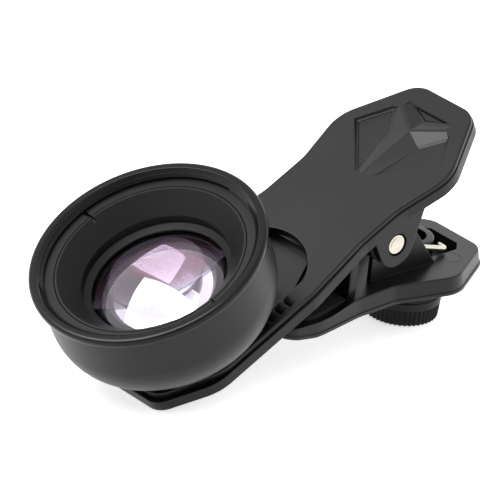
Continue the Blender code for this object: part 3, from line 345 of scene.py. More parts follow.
def close_mesh(bm, name):
    """A mesh with its doubles merged and its faces pointing outward."""
    bmesh.ops.remove_doubles(bm, verts=bm.verts, dist=MERGE)
    bmesh.ops.recalc_face_normals(bm, faces=bm.faces)
    mesh = bpy.data.meshes.new(name)
    bm.to_mesh(mesh)
    bm.free()
    return mesh


def loft(name, rings):
    """A solid through closed rings of equal point counts; a height may be a function of x."""
    bm = bmesh.new()
    loops = []
    for points, height in rings:
        level = height if callable(height) else lambda x, fixed=height: fixed
        loops.append([bm.verts.new((p[0], p[1], level(p[0]))) for p in points])
    for low, high in zip(loops, loops[1:]):
        for index in range(len(low)):
            after = (index + 1) % len(low)
            bm.faces.new((low[index], low[after], high[after], high[index]))
    bm.faces.new(loops[0])
    bm.faces.new(loops[-1])
    return close_mesh(bm, name)


def edge_rings(points, top, radius, steps=5, down=True):
    """Rings that round the edge between a flat face at a height and the outline below it."""
    rings = []
    sign = -1 if down else 1
    for step in range(steps + 1):
        turn = math.pi / 2 * step / steps
        rings.append((inset(points, radius * (1 - math.sin(turn))),
                      top + sign * radius * (1 - math.cos(turn))))
    return rings


def slab(name, points, low, high, edge=0.0):
    """A flat outline between two heights, with its upper and lower edges rounded."""
    if edge == 0:
        return loft(name, [(points, high), (points, low)])
    upper = edge_rings(points, high, edge, 4)
    lower = edge_rings(points, low, edge, 4, False)
    return loft(name, upper + lower[::-1])


def side_slab(name, points, low, high, edge=0.0):
    """An outline in x and z, extruded along y between two places."""
    mesh = slab(name, points, -high, -low, edge)
    mesh.transform(Matrix.Rotation(math.pi / 2, 4, "X"))
    return mesh


def lathe(name, points, steps=160, closed=True):
    """A solid turned about z from a section of (radius, height) points."""
    bm = bmesh.new()
    rings = []
    for radius, height in points:
        if radius < MERGE:
            rings.append([bm.verts.new((0, 0, height))] * steps)
            continue
        turns = [math.tau * step / steps for step in range(steps)]
        rings.append([bm.verts.new((radius * math.cos(a), radius * math.sin(a), height))
                      for a in turns])
    pairs = list(zip(rings, rings[1:]))
    if closed:
        pairs.append((rings[-1], rings[0]))
    for low, high in pairs:
        for index in range(steps):
            after = (index + 1) % steps
            corners = list(dict.fromkeys((low[index], low[after], high[after], high[index])))
            if len(corners) > 2:
                bm.faces.new(corners)
    return close_mesh(bm, name)


def rod(name, radius, low, high, x=0.0, edge=0.0, steps=64):
    """An upright cylinder between two heights, with rounded rims."""
    section = [(0, high, 0), (radius, high, edge), (radius, low, edge), (0, low, 0)]
    mesh = lathe(name, rounded(section, 4), steps, False)
    mesh.transform(Matrix.Translation((x, 0, 0)))
    return mesh


def cross_rod(name, radius, low, high, x=0.0, z=0.0, edge=0.0):
    """A cylinder along y between two places."""
    mesh = rod(name, radius, -high, -low, 0.0, edge)
    mesh.transform(Matrix.Translation((x, 0, z)) @ Matrix.Rotation(math.pi / 2, 4, "X"))
    return mesh


def box_mesh(name, low, high, edge=0.0):
    """A box between two corners, with rounded edges seen from above."""
    corners = [(low[0], low[1], edge), (high[0], low[1], edge), (high[0], high[1], edge),
               (low[0], high[1], edge)]
    return slab(name, rounded(corners, 4), low[2], high[2], edge / 2)


def together(name, meshes):
    """One mesh from several that don't touch."""
    bm = bmesh.new()
    for mesh in meshes:
        bm.from_mesh(mesh)
        bpy.data.meshes.remove(mesh)
    return close_mesh(bm, name)


def new_object(name, mesh):
    """An object in the scene for a mesh."""
    made = bpy.data.objects.new(name, mesh)
    bpy.context.scene.collection.objects.link(made)
    return made


def bake_modifiers(thing):
    """Replace an object's mesh by what its modifiers make of it."""
    bpy.context.view_layer.update()
    graph = bpy.context.evaluated_depsgraph_get()
    made = bpy.data.meshes.new_from_object(thing.evaluated_get(graph))
    thing.modifiers.clear()
    old = thing.data
    thing.data = made
    if old.users == 0:
        bpy.data.meshes.remove(old)


def carve(thing, mesh, operation="DIFFERENCE"):
    """Cut a solid from a piece, or join one to it."""
    helper = new_object("helper", mesh)
    step = thing.modifiers.new("carve", "BOOLEAN")
    step.solver = "EXACT"
    step.operation = operation
    step.object = helper
    bake_modifiers(thing)
    bpy.data.objects.remove(helper, do_unlink=True)
    bpy.data.meshes.remove(mesh)


def keep_part(mesh, block):
    """The part of a solid that lies inside a block."""
    part = new_object("part", mesh)
    carve(part, block, "INTERSECT")
    kept = part.data.copy()
    bpy.data.objects.remove(part, do_unlink=True)
    return kept


def crease_facets(mesh):
    """Keep the folds between marked faces crisp, though they turn by a few degrees only."""
    bm = bmesh.new()
    bm.from_mesh(mesh)
    marked = bm.faces.layers.bool["facet"]
    for edge in bm.edges:
        if edge.calc_face_angle(0.0) > CRISP_ANGLE and any(f[marked] for f in edge.link_faces):
            edge.smooth = False
    bm.faces.layers.bool.remove(marked)
    bm.to_mesh(mesh)
    bm.free()


def dress(thing, matrix, finish, body, nodes=(), sharp=30.0, crisp=None):
    """Place a piece, shade it, give it its finish and hang it on its body, if it has one."""
    mesh = thing.data
    faceted = []
    if crisp:
        low, high = crisp
        faceted = [poly.index for poly in mesh.polygons
                   if low.x < poly.center.x < high.x and abs(poly.center.y) < high.y
                   and low.z < poly.center.z < high.z]
    facet = mesh.attributes.new("facet", "BOOLEAN", "FACE")
    for index in faceted:
        facet.data[index].value = True
    mesh.transform(matrix)
    bm = bmesh.new()
    bm.from_mesh(mesh)
    bmesh.ops.remove_doubles(bm, verts=bm.verts, dist=MERGE)
    bmesh.ops.dissolve_degenerate(bm, edges=bm.edges, dist=MERGE / 2)
    bm.to_mesh(mesh)
    bm.free()
    mesh.materials.clear()
    mesh.materials.append(finish)
    mesh.shade_smooth()
    mesh.set_sharp_from_angle(angle=math.radians(sharp))
    crease_facets(mesh)
    normals = thing.modifiers.new("normals", "WEIGHTED_NORMAL")
    normals.keep_sharp = True
    bake_modifiers(thing)
    if body:
        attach(thing, body)
    if nodes:
        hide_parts(*nodes)
    return thing


def linear(hex_colour):
    """An sRGB hex colour as linear values for a socket."""
    values = [int(hex_colour[place:place + 2], 16) / 255 for place in (1, 3, 5)]
    return [v / 12.92 if v <= 0.04045 else ((v + 0.055) / 1.055) ** 2.4 for v in values] + [1.0]


def add(tree, kind, settings=(), **links):
    """Add a node with its settings and its links: an input's name to an output socket."""
    node = tree.nodes.new(kind)
    for key, value in dict(settings).items():
        if isinstance(key, str) and hasattr(node, key):
            setattr(node, key, value)
        else:
            node.inputs[key].default_value = value
    for key, socket in links.items():
        target = int(key[1:]) if key[0] == "n" and key[1:].isdigit() else key.replace("_", " ")
        tree.links.new(socket, node.inputs[target])
    return node


def new_finish(name, colour, rough=0.5, metallic=0.0):
    """A node material with its Principled shader."""
    made = bpy.data.materials.new(name)
    made.use_nodes = True
    shader = made.node_tree.nodes["Principled BSDF"]
    shader.inputs["Base Color"].default_value = linear(colour)
    shader.inputs["Roughness"].default_value = rough
    shader.inputs["Metallic"].default_value = metallic
    return made, made.node_tree, shader


def vary(tree, shader, height, low, high):
    """Let the roughness follow a pattern between two values."""
    shine = add(tree, "ShaderNodeMapRange", {"To Min": low, "To Max": high}, Value=height)
    tree.links.new(shine.outputs["Result"], shader.inputs["Roughness"])


def relief(tree, shader, height, strength, distance, edge=0.0):
    """Let a pattern stand out of the surface, over edges softened by a small radius."""
    bump = add(tree, "ShaderNodeBump", {"Strength": strength, "Distance": distance}, Height=height)
    if edge:
        soft = add(tree, "ShaderNodeBevel", {"samples": 4, "Radius": edge})
        tree.links.new(soft.outputs["Normal"], bump.inputs["Normal"])
    tree.links.new(bump.outputs["Normal"], shader.inputs["Normal"])


def moulded_abs(name, colour, rough, specular, grain=0.3, edge=0.12 * MM):
    """Black ABS from a spark-eroded mould: an even fine grain that dulls the gloss."""
    made, tree, shader = new_finish(name, colour)
    shader.inputs["IOR"].default_value = 1.53
    shader.inputs["Specular IOR Level"].default_value = specular
    place = add(tree, "ShaderNodeTexCoord").outputs["Object"]
    # Spark pits are about 0.05 mm across; 0.2 mm is the finest that a picture of this size shows
    pits = add(tree, "ShaderNodeTexNoise", {"Scale": 1 / (0.2 * MM), "Detail": 3.0}, Vector=place)
    # Melt fronts leave slow changes of gloss a centimetre long
    flow = add(tree, "ShaderNodeTexNoise", {"Scale": 1 / (9.0 * MM), "Detail": 2.0}, Vector=place)
    vary(tree, shader, flow.outputs["Fac"], rough - 0.06, rough + 0.06)
    relief(tree, shader, pits.outputs["Fac"], grain, 0.02 * MM, edge)
    return made


def axis_place(tree):
    """Coordinates about the lens axis, for finishes that were turned on a lathe."""
    place = add(tree, "ShaderNodeTexCoord").outputs["Object"]
    shift, turn, _ = UPPER.inverted().decompose()
    return add(tree, "ShaderNodeMapping", {"Location": shift, "Rotation": turn.to_euler()},
               Vector=place).outputs["Vector"]


def anodised(name, colour, rough, metallic=0.6, grit=0.3, specular=0.5):
    """Turned aluminium, bead blasted and dyed black: satin, with faint lathe lines."""
    made, tree, shader = new_finish(name, colour, rough, metallic)
    shader.inputs["Specular IOR Level"].default_value = specular
    place = axis_place(tree)
    height = add(tree, "ShaderNodeSeparateXYZ", Vector=place).outputs["Z"]
    # The tool's feed was 0.12 mm a turn; the beads leave dimples of 0.15 mm over its lines
    turned = add(tree, "ShaderNodeTexNoise", {"noise_dimensions": "1D", "Scale": 1 / (0.12 * MM),
                                              "Detail": 2.0}, W=height)
    beads = add(tree, "ShaderNodeTexNoise", {"Scale": 1 / (0.15 * MM), "Detail": 2.0}, Vector=place)
    both = add(tree, "ShaderNodeMath", {"operation": "MULTIPLY_ADD", 1: 0.3},
               n0=turned.outputs["Fac"], n2=beads.outputs["Fac"])
    vary(tree, shader, turned.outputs["Fac"], rough - 0.04, rough + 0.04)
    relief(tree, shader, both.outputs["Value"], grit, 0.012 * MM, 0.08 * MM)
    return made


def bright_metal(name, colour, rough):
    """Nickel plate or turned brass: bright, with fine drawing marks."""
    made, tree, shader = new_finish(name, colour, rough, 1.0)
    place = add(tree, "ShaderNodeTexCoord").outputs["Object"]
    # Drawing marks are short scuffs about 0.3 mm long
    marks = add(tree, "ShaderNodeTexNoise", {"Scale": 1 / (0.3 * MM), "Detail": 3.0}, Vector=place)
    vary(tree, shader, marks.outputs["Fac"], rough, rough + 0.12)
    relief(tree, shader, marks.outputs["Fac"], 0.12, 0.01 * MM)
    return made


def foam_rubber(name, colour):
    """Closed-cell EVA pad: matt, with tiny cells on its skin."""
    made, tree, shader = new_finish(name, colour, 0.85)
    shader.inputs["Specular IOR Level"].default_value = 0.2
    place = add(tree, "ShaderNodeTexCoord").outputs["Object"]
    # Cells of the foam are about 0.35 mm across
    cells = add(tree, "ShaderNodeTexVoronoi", {"Scale": 1 / (0.35 * MM)}, Vector=place)
    relief(tree, shader, cells.outputs["Distance"], 0.4, 0.05 * MM)
    return made


def coated_glass(name, tint, index, coat):
    """Polished lens glass whose anti-reflection coat tints what it mirrors."""
    made, _, shader = new_finish(name, tint, 0.0)
    shader.inputs["Transmission Weight"].default_value = 1.0
    shader.inputs["IOR"].default_value = index
    shader.inputs["Specular Tint"].default_value = linear(coat)
    return made


ABS = moulded_abs("moulded_abs_black", "#070707", 0.34, 0.22)
KNOB_ABS = moulded_abs("moulded_abs_knob", "#090909", 0.45, 0.2)
BARREL_SATIN = anodised("anodised_aluminium_satin", "#0e0e0f", 0.4, 0.5)
RIM_GLOSS = anodised("anodised_aluminium_rim", "#060607", 0.18, 0.3, 0.12, 0.25)
INNER_MATT = anodised("anodised_aluminium_inner", "#050506", 0.5, 0.3, 0.3, 0.25)
STEEL = bright_metal("nickel_plated_steel", "#b9b3a8", 0.12)
BRASS = bright_metal("turned_brass", "#c9a255", 0.2)
PAD = foam_rubber("eva_foam_pad", "#141414")
FRONT_GLASS = coated_glass("coated_crown_glass", "#cfc6d8", 1.8, "#f8f4ff")
MIDDLE_GLASS = coated_glass("violet_coated_glass", "#b07880", 1.65, "#8a5a70")
REAR_GLASS = coated_glass("red_coated_glass", "#d06070", 1.85, "#ff2848")


def path_tree():
    """Geometry Nodes that turn a line of edges into round wire with rounded bends."""
    tree = bpy.data.node_groups.new("wire_along_path", "GeometryNodeTree")
    face = tree.interface
    face.new_socket("Geometry", in_out="INPUT", socket_type="NodeSocketGeometry")
    face.new_socket("Wire Radius", in_out="INPUT", socket_type="NodeSocketFloat")
    face.new_socket("Bend Radius", in_out="INPUT", socket_type="NodeSocketFloat")
    face.new_socket("Material", in_out="INPUT", socket_type="NodeSocketMaterial")
    face.new_socket("Geometry", in_out="OUTPUT", socket_type="NodeSocketGeometry")
    given = tree.nodes.new("NodeGroupInput").outputs
    line = add(tree, "GeometryNodeMeshToCurve", n0=given["Geometry"])
    bent = add(tree, "GeometryNodeFilletCurve", {"mode": "POLY", "Count": 8},
               Curve=line.outputs["Curve"], Radius=given["Bend Radius"])
    ring = add(tree, "GeometryNodeCurvePrimitiveCircle", {"Resolution": 20},
               Radius=given["Wire Radius"])
    wire = add(tree, "GeometryNodeCurveToMesh", {"Fill Caps": True}, Curve=bent.outputs["Curve"],
               Profile_Curve=ring.outputs["Curve"])
    real = add(tree, "GeometryNodeRealizeInstances", Geometry=wire.outputs["Mesh"])
    done = add(tree, "GeometryNodeSetMaterial", Geometry=real.outputs["Geometry"],
               Material=given["Material"])
    add(tree, "NodeGroupOutput", n0=done.outputs["Geometry"])
    return tree


def thread_tree():
    """Geometry Nodes that wind a V-shaped crest along a screw line about z."""
    tree = bpy.data.node_groups.new("screw_thread", "GeometryNodeTree")
    face = tree.interface
    for name in ("Radius", "Pitch", "Turns", "Crest"):
        face.new_socket(name, in_out="INPUT", socket_type="NodeSocketFloat")
    face.new_socket("Material", in_out="INPUT", socket_type="NodeSocketMaterial")
    face.new_socket("Geometry", in_out="OUTPUT", socket_type="NodeSocketGeometry")
    given = tree.nodes.new("NodeGroupInput").outputs
    rise = add(tree, "ShaderNodeMath", {"operation": "MULTIPLY"}, n0=given["Pitch"],
               n1=given["Turns"])
    line = add(tree, "GeometryNodeCurveSpiral", {"Resolution": 128}, Rotations=given["Turns"],
               Start_Radius=given["Radius"], End_Radius=given["Radius"],
               Height=rise.outputs["Value"])
    crest = add(tree, "GeometryNodeCurvePrimitiveCircle", {"Resolution": 4},
                Radius=given["Crest"])
    wound = add(tree, "GeometryNodeCurveToMesh", {"Fill Caps": True}, Curve=line.outputs["Curve"],
                Profile_Curve=crest.outputs["Curve"])
    real = add(tree, "GeometryNodeRealizeInstances", Geometry=wound.outputs["Mesh"])
    done = add(tree, "GeometryNodeSetMaterial", Geometry=real.outputs["Geometry"],
               Material=given["Material"])
    add(tree, "NodeGroupOutput", n0=done.outputs["Geometry"])
    return tree


def grow(name, tree, mesh, **inputs):
    """An object whose mesh a Geometry Nodes tree makes from named inputs."""
    thing = new_object(name, mesh)
    step = thing.modifiers.new(tree.name, "NODES")
    step.node_group = tree
    for item in tree.interface.items_tree:
        key = item.name.replace(" ", "_").lower()
        if item.item_type == "SOCKET" and item.in_out == "INPUT" and key in inputs:
            step[item.identifier] = inputs[key]
    bake_modifiers(thing)
    thing.name = name
    return thing


WIRE = path_tree()
THREAD = thread_tree()


def upper_outline(front_draft=0.0, shoulder_draft=0.0, draft=0.0, waist_draft=0.0):
    """The upper arm's outline, drawn in from its foot by the drafts of its side walls."""
    half = [
        (ARM_FRONT + front_draft, ARM_FRONT_HALF - draft, 3.8 * MM),
        (ARM_SHOULDER + shoulder_draft, ARM_HALF - draft, 9.0 * MM),
        (ARM_TAPER_START, ARM_HALF - draft, 16.0 * MM),
        (ARM_WAIST_START, ARM_WAIST_HALF - waist_draft, 11.0 * MM),
        (ARM_WAIST_END, ARM_WAIST_HALF - waist_draft, 11.0 * MM),
        (GRIP_WIDEST, GRIP_HALF - waist_draft, 8.0 * MM),
        (ARM_REAR - waist_draft, ARM_REAR_HALF - waist_draft / 2, 4.5 * MM),
    ]
    return rounded(both_sides(half), 16)


def slot_outline(grown=0.0):
    """The long slot: round at both ends, wider at its rear."""
    centre = SLOT_REAR - SLOT_REAR_RADIUS
    meet = math.asin(SLOT_HALF / SLOT_REAR_RADIUS)
    points = []
    for step in range(SLOT_REAR_STEPS + 1):
        turn = meet * (2 * step / SLOT_REAR_STEPS - 1)
        points.append(Vector((centre + SLOT_REAR_RADIUS * math.cos(turn),
                              SLOT_REAR_RADIUS * math.sin(turn))))
    for step in range(SLOT_FRONT_STEPS + 1):
        turn = math.pi / 2 + math.pi * step / SLOT_FRONT_STEPS
        points.append(Vector((SLOT_FRONT + SLOT_HALF + SLOT_HALF * math.cos(turn),
                              SLOT_HALF * math.sin(turn))))
    return inset(points, -grown)


def facet_cutter(rim, floor, ridge):
    """A recess with sloped walls at its rim, a level floor and slopes that rise to a ridge."""
    bm = bmesh.new()
    outline = rim + ridge[::-1]
    middle = sum((Vector(point) for point in outline), Vector((0, 0))) / len(outline)
    spread = [Vector(p) + (Vector(p) - middle).normalized() * RELIEF_WALL for p in rim]
    spread += [Vector(p) for p in ridge[::-1]]
    top = [bm.verts.new((p.x, p.y, RELIEF_DEPTH)) for p in spread]
    level = [bm.verts.new((p.x, p.y, 0.02 * MM)) for p in spread]
    foot = [bm.verts.new((x, y, -RELIEF_DEPTH)) for x, y in rim]
    inner = bm.verts.new((*floor, -RELIEF_DEPTH))
    count = len(rim)
    for index in range(len(outline)):
        after = (index + 1) % len(outline)
        bm.faces.new((top[index], top[after], level[after], level[index]))
    for index in range(count - 1):
        bm.faces.new((level[index], level[index + 1], foot[index + 1], foot[index]))
    crest = level[count:][::-1]
    bm.faces.new(top)
    bm.faces.new((*foot, inner))
    bm.faces.new((foot[0], inner, crest[1], crest[0]))
    bm.faces.new((inner, foot[-1], crest[-1], crest[1]))
    bm.faces.new((foot[0], crest[0], level[0]))
    bm.faces.new((foot[-1], level[count - 1], crest[-1]))
    bmesh.ops.triangulate(bm, faces=bm.faces)
    bmesh.ops.recalc_face_normals(bm, faces=bm.faces)
    low = [edge for edge in bm.edges if edge.calc_face_angle(0.0) > RELIEF_FOLD
           and all(vert.co.z < 0.01 * MM for vert in edge.verts)]
    bmesh.ops.bevel(bm, geom=low, offset=RELIEF_BEVEL, segments=3, affect="EDGES",
                    clamp_overlap=True)
    return close_mesh(bm, "facet")


def make_upper_arm():
    """The moulded upper arm: plate, skirt, slot, rails, faceted grip, ears and post."""
    top = upper_outline(ARM_FRONT_DRAFT, ARM_SHOULDER_DRAFT, ARM_DRAFT, WAIST_DRAFT)
    foot = upper_outline()
    groove = inset(top, STEP_GROOVE)
    rings = edge_rings(top, 0.0, EDGE_FILLET)
    rings += [(top, 0.15 * MM - STEP_DROP), (groove, -STEP_DROP), (groove, -STEP_DROP - 0.12 * MM),
              (inset(foot, STEP_LEDGE), -STEP_DROP - 0.18 * MM), (foot, -STEP_DROP - 0.3 * MM)]
    rings += edge_rings(foot, -ARM_DEPTH, SKIRT_FILLET, 4, False)[::-1]
    arm = new_object("upper_arm_moulding", loft("upper_arm_moulding", rings))
    carve(arm, slab("hollow", inset(foot, ARM_WALL), -ARM_DEPTH - MM, -ARM_PLATE))
    carve(arm, loft("slot", [
        (slot_outline(SLOT_FILLET), 0.3 * MM),
        (slot_outline(SLOT_FILLET), 0.0),
        (slot_outline(0.07 * MM), -0.07 * MM),
        (slot_outline(), -SLOT_FILLET),
        (slot_outline(), -ARM_DEPTH - MM),
    ]))
    ear = rounded([
        (EAR_FRONT, -ARM_PLATE - FIT, 0),
        (EAR_FRONT, EAR_FOOT, 3.4 * MM),
        (EAR_HEEL, EAR_FOOT, 2.5 * MM),
        (EAR_REAR, FIT - ARM_DEPTH, 0),
        (EAR_REAR, -ARM_PLATE - FIT, 0),
    ], 12)
    for side in (-1, 1):
        low, high = sorted((side * EAR_INNER, side * EAR_OUTER))
        carve(arm, side_slab("ear", ear, low, high, 0.25 * MM), "UNION")
    carve(arm, rod("post", POST_RADIUS, -ARM_PLATE - POST_LENGTH, FIT - ARM_PLATE,
                   PIN_X + SCREW_X, 0.3 * MM), "UNION")
    reach = EAR_OUTER + MM
    carve(arm, cross_rod("hole", HOLE_RADIUS, -reach, reach, PIN_X, -PIN_DROP))
    teeth = []
    for count in range(TOOTH_COUNT):
        x = TOOTH_LAST - count * TOOTH_PITCH
        section = rounded([
            (x - TOOTH_WIDTH / 2, TOOTH_DEPTH, 0),
            (x - TOOTH_WIDTH / 2, -TOOTH_DEPTH, TOOTH_ROOT),
            (x + TOOTH_WIDTH / 2, -TOOTH_DEPTH, TOOTH_ROOT),
            (x + TOOTH_WIDTH / 2, -0.3 * MM, 0),
            (x + TOOTH_PITCH - TOOTH_WIDTH, 0.02 * MM, 0),
            (x + TOOTH_PITCH - TOOTH_WIDTH, TOOTH_DEPTH, 0),
        ], 3)
        teeth.append(side_slab("tooth", section, -TOOTH_OUTER, -TOOTH_INNER))
        teeth.append(side_slab("tooth", section, TOOTH_INNER, TOOTH_OUTER))
    carve(arm, together("teeth", teeth))
    for side in (-1, 1):
        rim = [(x, side * y) for x, y in SIDE_RIM]
        ridge = [(x, side * y) for x, y in SIDE_RIDGE]
        carve(arm, facet_cutter(rim, (SIDE_FLOOR[0], side * SIDE_FLOOR[1]), ridge))
    carve(arm, facet_cutter(list(REAR_RIM), REAR_FLOOR, list(REAR_RIDGE)))
    dress(arm, UPPER, ABS, "arm", ["upper_arm"], MOULD_SHARP, (GRIP_LOW, GRIP_HIGH))


def lower_outline(grown=0.0):
    """The lower arm's outline about the pin."""
    half = [
        (JAW_TIP, JAW_HALF, 3.2 * MM),
        (JAW_SHOULDER, JAW_HALF, 14.0 * MM),
        (LOWER_NECK, LOWER_NECK_HALF, 20.0 * MM),
        (LOWER_WAIST, LOWER_WAIST_HALF, 6.0 * MM),
        (HEEL_X, HEEL_HALF, 6.0 * MM),
        (LOWER_REAR, LOWER_REAR_HALF, 3.5 * MM),
    ]
    return inset(rounded(both_sides(half), 16), -grown)


def bottom_height(x):
    """The lower arm's bottom edge, which rises towards the jaw's tip."""
    start = JAW_TIP + TIP_RISE_LENGTH
    return LOWER_BOTTOM + max(0.0, start - x) / TIP_RISE_LENGTH * TIP_RISE


def pad_outline(grown=0.0):
    """The jaw pad's outline, from behind the jaw's tip to the stop wall."""
    half = [
        (JAW_TIP + PAD_FRONT_INSET, JAW_HALF - PAD_INSET, 2.6 * MM),
        (JAW_SHOULDER, JAW_HALF - PAD_INSET, 2.6 * MM),
        (STOP_WALL_X - STOP_WALL_HALF_THICKNESS - 2 * FIT, LOWER_NECK_HALF - PAD_INSET, 0.6 * MM),
    ]
    return inset(rounded(both_sides(half), 12), -grown)


def make_lower_arm():
    """The moulded lower arm: jaw, stop wall, hinge cheeks, window and screw boss."""
    top = lower_outline()
    side = lower_outline(LOWER_DRAFT)
    lip = lower_outline(LOWER_DRAFT + LIP_OUT)
    arm = new_object("lower_arm_moulding", loft("lower_arm_moulding", [
        *edge_rings(top, LOWER_TOP, EDGE_FILLET),
        (side, lambda x: bottom_height(x) + LIP_HEIGHT),
        (lip, lambda x: bottom_height(x) + LIP_HEIGHT - 0.03 * MM),
        (lip, lambda x: bottom_height(x) + 0.12 * MM),
        (inset(lip, 0.12 * MM), bottom_height),
    ]))
    front = STOP_WALL_X - STOP_WALL_HALF_THICKNESS
    rear = STOP_WALL_X + STOP_WALL_HALF_THICKNESS
    wide = 2 * JAW_HALF
    ramp = rounded([
        (JAW_TIP - 3 * MM, JAW_TOP, 0),
        (RAMP_START, JAW_TOP, 12.0 * MM),
        (RAMP_END, LOWER_TOP + 0.02 * MM, 0),
        (RAMP_END, 0, 0),
        (JAW_TIP - 3 * MM, 0, 0),
    ])
    carve(arm, side_slab("ramp", ramp, -wide, wide))
    carve(arm, slab("pocket", pad_outline(FIT), JAW_TOP - PAD_POCKET, 0))
    rear_part = slab("rear", inset(top, LOWER_WALL), LOWER_BOTTOM - MM, LOWER_TOP - LOWER_PLATE)
    carve(arm, keep_part(rear_part, box_mesh("keep", (rear, -wide, -wide), (wide * 2, wide, wide))))
    jaw_roof = JAW_TOP - PAD_POCKET - JAW_PLATE
    jaw_part = slab("jaw", inset(top, JAW_WALL), LOWER_BOTTOM - MM, jaw_roof)
    carve(arm, keep_part(jaw_part, box_mesh("keep", (-2 * wide, -wide, -wide),
                                            (rear + FIT, wide, wide))))
    window = rounded([
        (WINDOW_FRONT, -WINDOW_HALF, 0),
        (WINDOW_REAR - WINDOW_CHAMFER, -WINDOW_HALF, WINDOW_CORNER),
        (WINDOW_REAR, WINDOW_CHAMFER - WINDOW_HALF, WINDOW_CORNER),
        (WINDOW_REAR, WINDOW_HALF - WINDOW_CHAMFER, WINDOW_CORNER),
        (WINDOW_REAR - WINDOW_CHAMFER, WINDOW_HALF, WINDOW_CORNER),
        (WINDOW_FRONT, WINDOW_HALF, 0),
    ])
    carve(arm, slab("window", window, LOWER_BOTTOM - MM, LOWER_TOP + MM))
    carve(arm, box_mesh("wall", (front, -STOP_WALL_HALF, jaw_roof + JAW_PLATE / 2),
                        (rear + FIT, STOP_WALL_HALF, STOP_WALL_TOP), 0.3 * MM), "UNION")
    inside = LOWER_TOP - LOWER_PLATE / 2
    cheek = rounded([
        (CHEEK_FRONT, inside, 0),
        (CHEEK_FRONT, HUB_RADIUS / 2, 1.2 * MM),
        (HUB_RADIUS, HUB_RADIUS, 3.0 * MM),
        (*CHEEK_KNEE, 2.0 * MM),
        (CHEEK_REAR, inside, 0),
    ])
    for sign in (-1, 1):
        low, high = sorted((sign * CHEEK_INNER, sign * (CHEEK_INNER + CHEEK_WALL)))
        carve(arm, side_slab("cheek", cheek, low, high, 0.12 * MM), "UNION")
        low, high = sorted((sign * (CHEEK_INNER + CHEEK_WALL / 2), sign * (EAR_INNER - FIT)))
        carve(arm, cross_rod("hub", HUB_RADIUS, low, high, 0, 0, 0.2 * MM), "UNION")
    # A dark sheet of the arm's plastic under the window stands in for the shade inside the arm:
    # painted shade that keeps the floor from showing through
    shade_sheet = slab("shade_sheet", inset(top, LOWER_WALL - SHADE_SHEET_OVERLAP), SHADE_SHEET_FOOT, SHADE_SHEET_TOP)
    carve(arm, keep_part(shade_sheet, box_mesh("keep", (SCREW_X, -wide, -wide), (wide * 2, wide, wide))),
          "UNION")
    carve(arm, rod("boss", BOSS_RADIUS, LOWER_BOTTOM, BOSS_TOP, SCREW_X, 0.3 * MM), "UNION")
    carve(arm, rod("bore", BOSS_BORE, LOWER_BOTTOM - MM, BOSS_TOP + MM, SCREW_X))
    carve(arm, cross_rod("hole", HOLE_RADIUS, -EAR_INNER, EAR_INNER))
    marks = []
    for sign in (-1, 1):
        line = lathe("mark", [
            (EJECTOR_RADIUS - EJECTOR_LINE, LOWER_TOP + FIT),
            (EJECTOR_RADIUS, LOWER_TOP + FIT),
            (EJECTOR_RADIUS, LOWER_TOP - EJECTOR_DEPTH),
            (EJECTOR_RADIUS - EJECTOR_LINE, LOWER_TOP - EJECTOR_DEPTH),
        ], 64)
        line.transform(Matrix.Translation((EJECTOR_MARK[0], sign * EJECTOR_MARK[1], 0)))
        marks.append(line)
    carve(arm, together("marks", marks))
    dress(arm, LOWER, ABS, "base", ["lower_arm"], MOULD_SHARP)
    pad = new_object("jaw_pad_foam", slab("jaw_pad_foam", pad_outline(),
                                          JAW_TOP - PAD_POCKET + FIT,
                                          JAW_TOP - PAD_POCKET + FIT + MM, 0.2 * MM))
    dress(pad, LOWER, PAD, "base", ["jaw_pad"])


def turned_piece(name, section, finish, body, nodes):
    """A piece turned about the lens axis from corners (radius, height, corner radius)."""
    thing = new_object(name, lathe(name, rounded(section, 6), TURNED_STEPS))
    return dress(thing, UPPER, finish, body, nodes)


def sphere_arc(apex, curve, start, end, steps, sign=1):
    """Section points of a spherical face between two radii; sign -1 makes it face down."""
    points = []
    for step in range(steps + 1):
        radius = start + (end - start) * step / steps
        points.append((radius, apex - sign * (curve - math.sqrt(curve ** 2 - radius ** 2))))
    return points


